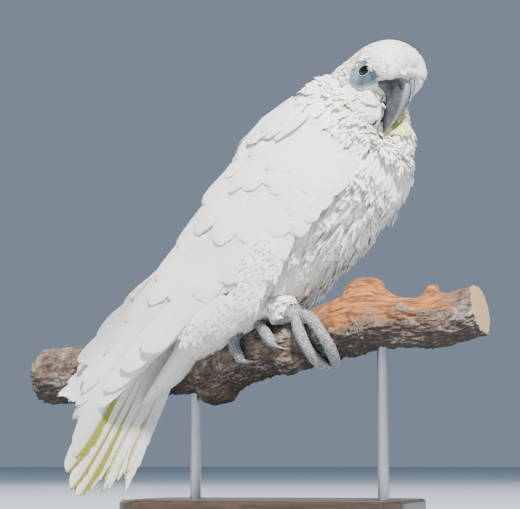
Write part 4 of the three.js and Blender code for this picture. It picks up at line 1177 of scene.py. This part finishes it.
def ruffle(place, a, b, seed, size=0.016):
    """Three slow random values over a shell, from -1 to 1, shared by feathers that lie close
    together."""
    spot = place(a, b, 0 * a) / size
    return [lattice_noise(spot, seed + k) for k in range(3)]


a, b = tiled(body_shell, (1.3, 8.3), (-EDGE_OF_FRONT, EDGE_OF_FRONT), 0.0085, 0.0085, rng)
stand, lean_side, tall = ruffle(body_shell, a, b, 21, 0.018)
loose = np.clip((5.8 - a) / 2.2, 0.15, 1)
stand = np.clip(stand + 0.25, 0, 1)
beside_wing = np.exp(-((np.abs(b) - 0.95) / 0.35) ** 2)
beside_wing = beside_wing * np.interp(a, (3, 3.6, 6, 7), (0, 1, 1, 0))
shaken = rng.uniform(0, 1, len(a)) ** 1.5
under = lay_vanes(body_shell, a, b, rng, length=0.028, width=0.018, root=-0.0062,
                  tip=-0.0016 + 0.001 * stand * loose, aim=0.3 * lean_side * loose, rag=0.25,
                  stations=6, point=0.45, camber=0.08)
off_stain = np.linalg.norm(body_shell(a, b, 0 * a) - STAIN_PLACE, axis=-1)
stain = 0.85 * np.exp(-(off_stain / STAIN_RADIUS) ** 2)
turn_aside = 0.6 * lean_side * loose + 0.35 * beside_wing * (shaken - 0.4)
outer = locks(body_shell, a, b, rng, 0.17, 5, tint=stain, aim=turn_aside,
              length=0.025 + 0.005 * tall, width=0.0056, root=-0.0046,
              tip=-0.0004 + (0.0004 + 0.0056 * stand) * loose + 0.0070 * beside_wing * shaken,
              point=0.25, rag=0.15,
              lean=0.4 * lean_side * loose, curl=0.0012 * loose * stand, stations=5, camber=0.14)
coat_piece("coat_breast_under", [clear_of_bill(s, 0.6) for s in (under, outer[0], outer[1])],
           white_feather, "feathers")
coat_piece("coat_breast", [clear_of_bill(s, 0.6) for s in outer[2:]], white_feather, "feathers")

# Loose plumes that stand clear of the breast and break up its outline.
a, b = tiled(body_shell, (1.7, 6.0), (-1.3, 1.3), 0.0100, 0.0105, rng, jitter=0.5)
stand, lean_side, tall = ruffle(body_shell, a, b, 57, 0.012)
up = np.clip(0.35 + 0.8 * stand, 0, 1) * np.interp(a, (1.7, 2.4, 5.0, 6.0), (0.5, 1, 1, 0.4))
plumes = locks(body_shell, a, b, rng, 0.16, 4, aim=0.7 * lean_side, length=0.024 + 0.005 * tall,
               width=0.0036, root=-0.0030, tip=0.0012 + 0.0058 * up, point=0.2, rag=0.2,
               lean=0.5 * lean_side, curl=0.0015 * up, stations=5, camber=0.14)
coat_piece("coat_breast_plumes", [clear_of_bill(s, 0.7) for s in plumes], white_feather, "feathers")

# The chin: small yellow-green feathers that lie close in the hollow behind and beside the bill.
a, b = tiled(body_shell, (0.2, 2.6), (-1.5, 1.5), 0.0032, 0.0032, rng)
gap = np.linalg.norm(body_shell(a, b, 0 * a)[:, None] - rest_middles[1:], axis=-1).min(1)
a, b = a[gap < 0.017], b[gap < 0.017]
chin = lay_vanes(body_shell, a, b, rng, aim=rng.normal(0, 0.3, len(a)), length=0.011, width=0.0030,
                 root=-0.0022, tip=0.0004, point=0.2, rag=0.2, stations=4, camber=0.14,
                 tint=rng.uniform(0.1, 0.8, len(a)))
coat_piece("coat_chin", [clear_of_bill(chin, 0.5)], white_feather, "feathers")

# ---- Head feathers ------------------------------------------------------------------------
# Short close feathers: smooth over the forehead and crown, very small on the face and round the
# bare skin of the eye, ruffled over the eye. They all lie back from the bill.

# Its blue-grey wash is painted shade, laid on by the vanes' tint.
face_finish = feather_finish("face_white", (0.93, 0.905, 0.85, 1), (0.72, 0.705, 0.68, 1),
                             wash=(0.34, 0.375, 0.40, 1))


def in_head(points):
    """Points of the bird put back into the head's own frame."""
    return (points - HEAD_PLACE) @ HEAD_TURN


# Half-width of the bare skin by height from the eye, and height of the feathers' edge over the
# bill by distance forward.
BARE_WIDTH = MM * np.array([[-22, 8], [-14, 10.5], [-5, 9.5], [0, 8]])
BILL_RIM = MM * np.array([[16, -13.5], [23, -4], [27, 1], [31, 5.5], [36, 7], [38, 9.5]])


def off_eye_and_bill(reach, ahead):
    """A test of roots on the head: outside the bare skin round both eyes, which reaches further
    ahead of the eye than behind it, and outside the bill."""
    def keep(a, b):
        place = in_head(head_shell(a, b, 0 * a))
        gap = place - EYE_PLACE * np.stack([1 + 0 * b, np.sign(b), 1 + 0 * b], -1)
        gap = gap - np.stack([np.clip(gap[:, 0], 0, ahead), 0 * b, 0 * b], -1)
        open_eye = np.hypot(gap[:, 0], gap[:, 2]) < reach
        wide = np.interp(gap[:, 2], *BARE_WIDTH.T)
        bare = (np.abs(gap[:, 0] + 0.002) < wide) & (gap[:, 2] < 0) & (gap[:, 2] > -0.0225)
        bare |= (np.abs(gap[:, 0] - 0.0055) < 0.006) & (np.abs(gap[:, 2] + 0.002) < 0.0065)
        rim = np.interp(place[:, 0], *BILL_RIM.T)
        in_bill = (place[:, 0] > 0.016) & (place[:, 2] < rim) & (place[:, 1] < 0.0135)
        in_bill &= (np.abs(place[:, 1]) < 0.0175) & (place[:, 2] > -0.0145)
        return ~((open_eye | bare) & (np.abs(place[:, 1]) > 0.012)) & ~in_bill
    return keep


def unstretched(vanes, longest):
    """The same vanes less those that a sharp fold of the shell has drawn out past a length."""
    points = vanes["points"].reshape(vanes["count"], vanes["size"], 3)
    return without(vanes, np.linalg.norm(np.ptp(points, axis=1), axis=-1) > longest)


HEAD_PATCH = (-1, 12, -3.3, 3.3)
a, b = tiled(head_shell, (1.0, 11.85), (-1.15, 1.15), 0.0036, 0.0036, rng,
             off_eye_and_bill(0.0085, 0.004))
crown = lay_vanes(head_shell, a, b, rng, aim=np.pi + rng.normal(0, 0.10, len(a)),
                  length=0.0105, width=0.0062, root=-0.0026, tip=-0.0001, rag=0.12, point=0.4,
                  stations=5, camber=0.10, patch=HEAD_PATCH)

# The face and the sides of the head, with the ruffle over the eye. The tint greys the ruffle and
# the lore with painted shade.
face_sets = [crown]
for sign in (-1, 1):
    ends = (1.1, 2.75) if sign > 0 else (-2.75, -1.1)
    a, b = tiled(head_shell, (0.4, 11.8), ends, 0.0026, 0.0028, rng,
                 off_eye_and_bill(0.0074, 0.0035))
    at = in_head(head_shell(a, b, 0 * a))
    over_eye = np.exp(-(((at[:, 0] - 0.001) / 0.013) ** 2) - ((at[:, 2] - 0.0120) / 0.0065) ** 2)
    # Painted shade in the lore, under the brow; the tint also greys the ruffle over the eye.
    lore_shade = np.exp(-(((at[:, 0] - 0.024) / 0.007) ** 2) - ((at[:, 2] + 0.001) / 0.006) ** 2)
    stand, lean_side, tall = ruffle(head_shell, a, b, 61, 0.006)
    down = np.interp(np.abs(b), (1.1, 2.0, 2.75), (0.05, 0.45, 0.9))
    raised = 0.0020 * over_eye * np.clip(stand + 0.5, 0, 1.5) + 0.0003 * stand
    face_sets.append(lay_vanes(
        head_shell, a, b, rng,
        aim=np.pi - sign * down + 0.5 * lean_side * (0.35 + over_eye) + rng.normal(0, 0.1, len(a)),
        length=0.0058 + 0.0016 * tall + 0.003 * over_eye, width=0.0036, root=-0.0024,
        tip=-0.0004 + raised, rag=0.3, point=0.35, stations=4, camber=0.12, patch=HEAD_PATCH,
        tint=1.5 * over_eye * rng.uniform(0, 1, len(a)) + 0.35 * lore_shade))
coat_piece("coat_head", [unstretched(s, 0.015) for s in face_sets], face_finish, "feathers")

# The crest, folded flat: broad plumes from the front of the crown that reach back to the nape.
k = np.linspace(-1, 1, 11)
k = np.concatenate([k, k[::2] * 0.7, k[1::2] * 0.8])
crest_a = np.interp(np.abs(k), (0, 1), (7.6, 6.4)) - 1.2 * (np.arange(len(k)) > 10)
crest_set = lay_vanes(head_shell, crest_a, 0.46 * k, rng, aim=np.pi + 0.05 * k,
                      length=0.034 + 0.004 * rng.uniform(-1, 1, len(k)), width=0.011, root=-0.0006,
                      tip=0.0009 + 0.0005 * (1 - np.abs(k)), broad=True, stations=12, point=0.6,
                      camber=0.06, rag=0.12, curl=0.0004, patch=HEAD_PATCH)
coat_piece("coat_crest", [crest_set], face_finish, "feathers", "crest")

# Cheeks: puffs of loose bright feathers that hide the corner of the bill.
cheek_sets = []
for side, sign in SIDES.items():
    place = cheek_shells[side]
    b, a = tiled(swapped(place), (-1.15, 0.95), (-np.pi, np.pi), 0.0050, 0.0050, rng)
    at = in_head(place(a, b, 0 * a))
    seen = sign * at[:, 1] > 0.006
    a, b, at = a[seen], b[seen], at[seen]
    stand, lean_side, tall = ruffle(place, a, b, 71, 0.006)
    # The lie is back and down: the direction on the ball nearest to that in the head's frame.
    step = 0.02
    nil = 0 * a
    east = unit(place(a + step, b, nil) - place(a - step, b, nil))
    north = unit(place(a, b + step, nil) - place(a, b - step, nil))
    lie = HEAD_TURN @ np.array([-0.75, 0.15 * sign, -0.66])
    aim = np.arctan2(north @ lie, east @ lie)
    cheek_sets += locks(place, a, b, rng, 0.22, 4, aim=aim + 0.5 * lean_side,
                        length=0.0160 + 0.003 * tall, width=0.0040, root=-0.0030,
                        tip=0.0006 + 0.0030 * np.clip(stand + 0.2, 0, 1), point=0.3, rag=0.2,
                        stations=5, camber=0.12, lean=0.3 * lean_side, patch=(-3.2, 3.2, -1.6, 1.6))
coat_piece("coat_cheeks", [clear_of_bill(s, 0.45) for s in cheek_sets], face_finish, "feathers")

# The throat, under the bill: longer ragged feathers that point down to the breast.
a, b = tiled(head_shell, (0.5, 9.4), (2.55, 3.75), 0.0055, 0.0055, rng)
stand, lean_side, tall = ruffle(head_shell, a, b, 81, 0.010)
throat_sets = locks(head_shell, a, b, rng, 0.25, 3, aim=np.pi + 0.5 * lean_side,
                    length=0.016 + 0.003 * tall, width=0.0042, root=-0.0028,
                    tip=0.0002 + 0.0025 * np.clip(stand, 0, 1), point=0.3, rag=0.3, stations=4,
                    camber=0.12, lean=0.3 * lean_side, patch=(-1, 12, 2.0, 4.3))
coat_piece("coat_throat", [clear_of_bill(s, 0.7) for s in throat_sets], face_finish, "feathers")

# ---- Wing feathers ------------------------------------------------------------------------
# The folded wings: small coverts over the shoulder, larger ones in rows behind them, then the
# long stiff flight feathers. Each is rooted in the wing's flesh and each lies on the one below.


def wing_sheet_surface(p, q):
    """The wing's outer face at a distance p from the wrist towards the wing tip and q up from
    that line, in metres."""
    row = np.interp(p, WING[:, 0], np.arange(len(WING)))
    low, high = np.moveaxis(along_table(WING, row)[..., 1:3], -1, 0)
    return wing_surface(row, (q - low) / (high - low))


wing_sheet = shell(wing_sheet_surface, (-0.006, 0.312), (-0.060, 0.060), -1, 320, 160)
WING_PATCH = (-0.03, 0.31, -0.06, 0.06)


def wing_set(tips, rng, **shape):
    """Broad vanes from a table in mm: where each tip is along the wing and up from its line,
    then its width, its length and the turn of its shaft in degrees."""
    p, q, width, length = (MM * np.asarray(tips, float)[:, :4]).T
    aim = np.radians(np.asarray(tips, float)[:, 4])
    root_p, root_q = p - length * np.cos(aim), q - length * np.sin(aim)
    settings = dict(broad=True, stations=12, point=0.62, camber=0.05, lean=-0.05, rag=0.05,
                    root=-0.0022, tip=0.0006, thick=0.0006, patch=WING_PATCH)
    settings.update(shape)
    return lay_vanes(wing_sheet, root_p, root_q, rng, aim=aim, length=length, width=width,
                     **settings)


def covert_rows(first, last, gap, rng, low=-42, high=52, spacing=12):
    """Tips for rows of small coverts, from one distance along the wing to another. They point
    downwards near the lower edge and along the wing near its upper edge."""
    rows = []
    for k, p in enumerate(np.arange(first, last, gap)):
        q = np.arange(low + (k % 2) * spacing / 2, high, spacing) + rng.uniform(-2, 2)
        reach = np.interp(q, (low, high), (-38, -6))
        wide = 1.45 * spacing + rng.uniform(-1.5, 1.5, len(q))
        ahead = p + rng.uniform(-2, 2, len(q)) + 0.12 * np.abs(q)
        rows.append(np.stack([ahead, q, wide, 0 * q + 2.3 * gap, reach], -1))
    return np.concatenate(rows)


def moved(vanes, change):
    """The same vanes with their points put through a change that mirrors them, so each face is
    turned round."""
    return {**vanes, "points": change(vanes["points"]), "faces": vanes["faces"][:, ::-1]}


# Tip along the wing, up from its line, width, length, turn of the shaft in degrees.
MEDIAN_COVERTS = [[80, 44, 22, 36, -8], [79, 30, 24, 38, -16], [75, 14, 26, 40, -26],
                  [62, -4, 30, 42, -33], [66, -22, 28, 40, -38], [60, -36, 24, 36, -42]]
GREAT_COVERTS = [[108, 44, 24, 50, -6], [128, 28, 32, 60, -12], [121, 7, 29, 58, -18],
                 [106, -9, 31, 54, -26], [88, -23, 32, 50, -31], [74, -36, 24, 42, -35]]
LONG_COVERTS = [[148, 37, 24, 60, -2], [180, 31, 26, 70, -3], [199, 22, 27, 76, -3],
                [184, 6, 31, 74, -7], [168, -7, 29, 68, -10], [142, -14, 28, 60, -14],
                [116, -20, 28, 56, -20]]
INNER_FLIGHT = [[226, 30, 22, 100, -1], [256, 25, 22, 110, -2], [280, 18, 20, 110, -4],
                [290, 6, 20, 120, 2], [260, 2, 22, 105, 4],
                [230, -2, 22, 90, 5], [203, -7, 22, 74, 2], [182, -12, 24, 60, -5]]
OUTER_FLIGHT = [[286, 14, 14, 130, -2], [297, 10, 13, 140, -2], [306, 6, 13, 150, -1],
                [310, 2, 14, 150, -1], [302, -1, 14, 145, -1], [288, -2, 16, 135, -1],
                [272, 0, 18, 125, 0], [250, 0, 20, 110, 0], [228, -3, 22, 100, 0]]

covert_finish = feather_finish("covert_white", (0.90, 0.875, 0.825, 1), (0.74, 0.725, 0.70, 1), 0.6)
# Painted shade: the flight feathers are the coverts' white, made darker and greyer.
shaded_flight_finish = feather_finish("flight_white_shaded", (0.80, 0.79, 0.765, 1), (0.67, 0.675, 0.675, 1), 0.5)

small_tips = covert_rows(8, 62, 13, rng, spacing=23)
along_wing, up_wing = small_tips[:, 0], small_tips[:, 1]
on_wing = (along_wing > 12 - 0.1 * up_wing) & (up_wing > -44 + np.abs(along_wing - 50) * 0.2)
small_set = wing_set(small_tips[on_wing], rng, stations=8, point=0.4, root=-0.0018, tip=0.0000,
                      thick=0.0005, lean=-0.01)
median_set = wing_set(MEDIAN_COVERTS, rng, point=0.45, root=-0.0020, tip=0.0001, lean=-0.03)
great_set = wing_set(GREAT_COVERTS, rng, point=0.5, root=-0.0022, tip=0.0000, lean=-0.03)
long_set = wing_set(LONG_COVERTS, rng, point=0.66, root=-0.0026, tip=-0.0003, stations=14,
                    lean=-0.035)
inner_set = wing_set(INNER_FLIGHT, rng, point=0.8, root=-0.0032, tip=-0.0008, stations=16,
                     lean=-0.05)
outer_set = wing_set(OUTER_FLIGHT, rng, point=0.72, root=-0.0040, tip=0.0010, curl=0.0085,
                     stations=18, lean=-0.04)
coverts = [small_set, median_set, great_set, long_set]
flights = [inner_set, outer_set]
coat_piece("coat_coverts_right", coverts, covert_finish, "feathers", "wing_right")
coat_piece("flight_feathers_right", flights, shaded_flight_finish, "flight_feathers", "primaries_right")
coat_piece("coat_coverts_left", [moved(s, left_wing) for s in coverts], covert_finish, "feathers",
           "wing_left")
coat_piece("flight_feathers_left", [moved(s, left_wing) for s in flights], shaded_flight_finish,
           "flight_feathers", "primaries_left")

# ---- Neck and back feathers ---------------------------------------------------------------
# A full loose ruff round the neck, and smoother rounded feathers on the back between the wings.
# They are rooted in the skin in rows, except the shoulder's and the flank's, which are rooted
# along the edges of each folded wing.

BODY_PATCH = (-0.5, 9.5, -3.4, 3.4)
a, b = tiled(body_shell, (0.5, 3.0), (-np.pi, np.pi), 0.0080, 0.0085, rng)
at = in_head(body_shell(a, b, 0 * a))
behind = (at[:, 0] < -0.004) | (at[:, 2] < -0.027)
a, b = a[behind], b[behind]
stand, lean_side, tall = ruffle(body_shell, a, b, 31, 0.018)
neck_sets = locks(body_shell, a, b, rng, 0.20, 4, aim=0.6 * lean_side,
                  length=0.0250 + 0.004 * tall, width=0.0072, root=-0.0052,
                  tip=0.0004 + 0.0050 * np.clip(stand + 0.2, 0, 1), point=0.35, rag=0.1, stations=5,
                  camber=0.13, lean=0.35 * lean_side, curl=0.0006, patch=BODY_PATCH)
coat_piece("coat_neck", [clear_of_bill(s, 0.7) for s in neck_sets], white_feather, "feathers")

a, b = tiled(body_shell, (2.0, 8.8), (1.75, 2 * np.pi - 1.75), 0.0095, 0.0095, rng)
back_set = lay_vanes(body_shell, a, b, rng, aim=rng.normal(0, 0.08, len(a)), length=0.026,
                     width=0.017, root=-0.0050, tip=0.0002, rag=0.12, point=0.45, stations=7,
                     broad=True, camber=0.06, patch=(0, 9, 1.7, 4.6))

# The mantle: shoulder feathers that lie over the top of each folded wing. Its table is in the
# same terms as the wing's.
MANTLE = [[46, 46, 20, 26, -10], [38, 46, 20, 26, -14], [30, 46, 20, 26, -20],
          [22, 44, 20, 26, -26], [15, 41, 20, 26, -33], [9, 36, 20, 26, -40],
          [4, 29, 20, 24, -48], [0, 21, 18, 24, -56]]
mantle_set = wing_set(MANTLE, rng, root=-0.0002, tip=0.0030, stations=10, point=0.5, rag=0.08,
                      curl=0.0006, lean=-0.01)
coat_piece("coat_back", [back_set, mantle_set, moved(mantle_set, left_wing)], covert_finish,
           "feathers")

# The flank: soft feathers that spill over the lower edge of each folded wing.
p = MM * np.repeat(np.arange(70, 180, 5.0), 4)
low = np.interp(p, WING[:, 0], WING[:, 1])
p = p + rng.uniform(-0.003, 0.003, len(p))
q = low + rng.uniform(0, 1, len(p)) * 0.016 - np.interp(p, (0.07, 0.12), (-0.003, 0.010))
flank_sets = locks(wing_sheet, p, q, rng, 0.14, 4, aim=-0.16 + rng.normal(0, 0.10, len(p)),
                   length=0.032, width=0.0056, root=-0.0016, thick=0.0003,
                   tip=0.0010 + 0.0008 * rng.uniform(0, 1, len(p)), point=0.05, rag=0.05,
                   stations=8, camber=0.08, patch=WING_PATCH)
flank_sets += [moved(s, left_wing) for s in flank_sets]
coat_piece("coat_flank", flank_sets, white_feather, "feathers")

# ---- Thigh feathers -----------------------------------------------------------------------
# Soft white feathers with loose ends that puff over the thighs and hide the legs down to the
# ankle. They are rooted round each thigh and point down the leg.

thigh_sets = []
for side, place in thigh_shells.items():
    a, b = tiled(place, (0.02, 1.02), (-np.pi, np.pi), 0.0058, 0.0062, rng)
    stand, lean_side, tall = ruffle(place, a, b, 41, 0.012)
    thigh_sets += locks(place, a, b, rng, 0.20, 3, aim=0.45 * lean_side,
                        length=0.017 + 0.002 * tall, width=0.0050, root=-0.0032,
                        tip=0.0002 + 0.0014 * np.clip(stand, 0, 1), point=0.1, rag=0.1, stations=5,
                        camber=0.13, lean=0.3 * lean_side, patch=(-0.2, 1.2, -3.3, 3.3))
coat_piece("coat_thighs", thigh_sets, white_feather, "feathers")

# ---- Under-tail feathers ------------------------------------------------------------------
# Long smooth white feathers that close over the root of the tail. They are rooted round the
# vent and lie back along it.

a, b = tiled(vent_shell, (0.0, 3.3), (-np.pi, np.pi), 0.0085, 0.0085, rng)
vent_set = lay_vanes(vent_shell, a, b, rng, aim=rng.normal(0, 0.10, len(a)), length=0.030,
                     width=0.014, root=-0.0028, tip=0.0004, rag=0.15, point=0.45, stations=8,
                     broad=True, camber=0.07, patch=(-0.2, 4.4, -3.3, 3.3))
coat_piece("coat_vent", [vent_set], white_feather, "feathers")

# ---- Tail feathers ------------------------------------------------------------------------
# Twelve long stiff feathers that fan from the end of the trunk. Their outer webs are white and
# their inner webs are washed yellow-green, so the fan is striped where they overlap.

TAIL_ROOT = MM * np.array([-92, 0, 157])
TAIL_TIP = MM * np.array([-158, -28, 22])
TAIL_WIDTH = MM * np.array([34, 58])
TAIL_ROLL = np.radians(38)
tail_run = unit(TAIL_TIP - TAIL_ROOT)
tail_below = unit(np.array([1.0, 0, 0]) - tail_run[0] * tail_run)
tail_across = (np.cos(TAIL_ROLL) * np.cross(tail_below, tail_run)
               + np.sin(TAIL_ROLL) * tail_below)
tail_normal = np.cross(tail_run, tail_across)


def tail_surface(along, across):
    """Middle sheet of the fan: a share along it, and -1 at its right edge to 1 at its left. It
    widens as the root of the way along and dips a little in the middle."""
    width = TAIL_WIDTH[0] + (TAIL_WIDTH[1] - TAIL_WIDTH[0]) * np.sqrt(np.clip(along, 0, 2))
    middle = TAIL_ROOT + along[..., None] * (TAIL_TIP - TAIL_ROOT)
    return (middle + (across * width / 2)[..., None] * tail_across
            + (0.004 * along * across ** 2)[..., None] * tail_normal)


# Share across, share along at the tip, width in mm, height over the sheet and yellow wash.
TAIL_FEATHERS = np.array([
    [-0.84, 0.97, 17, -1.8, 1.0], [-0.46, 0.985, 15, -2.7, 1.0], [-0.20, 1.00, 13, -3.5, 1.0],
    [0.02, 1.01, 12, -4.3, 1.0], [0.18, 1.01, 11, -5.0, 0.9], [0.31, 1.00, 10, -5.5, 0.8],
    [0.43, 1.02, 9, -5.1, 0.7], [0.55, 0.98, 8, -4.6, 0.7], [0.67, 1.02, 8, -4.0, 0.6],
    [0.79, 0.97, 7, -3.4, 0.7], [0.91, 1.01, 7, -2.8, 0.6], [1.03, 0.96, 6.5, -2.2, 0.6]])
tail_finish = feather_finish("tail_white", (0.90, 0.89, 0.86, 1), (0.80, 0.79, 0.74, 1), 0.5,
                             (0.36, 0.345, 0.035, 1))
tail_shell = shell(tail_surface, (0, 1.03), (-1.2, 1.2), 1, 160, 120)
k, tips, width, height, wash = TAIL_FEATHERS.T
right_half = k < 0.1
tail_length = np.linalg.norm(TAIL_TIP - TAIL_ROOT)
tail_sets = []
for half, side in ((right_half, 1), (~right_half, -1)):
    tail_sets.append(lay_vanes(
        tail_shell, 0 * k[half], k[half], rng, aim=rng.uniform(-0.03, 0.03, half.sum()),
        length=tips[half] * tail_length, width=width[half] * MM, root=-0.0005,
        tip=height[half] * MM, broad=True, stations=22, point=0.66 if side > 0 else 0.42,
        camber=0.04, lean=-0.05 * side, thick=0.0007, rag=0.05 if side > 0 else 0.16,
        tint=wash[half], tint_side=side, patch=(-0.1, 1.05, -1.2, 1.2)))
coat_piece("tail_feathers", tail_sets, tail_finish, "tail_feathers", "tail")
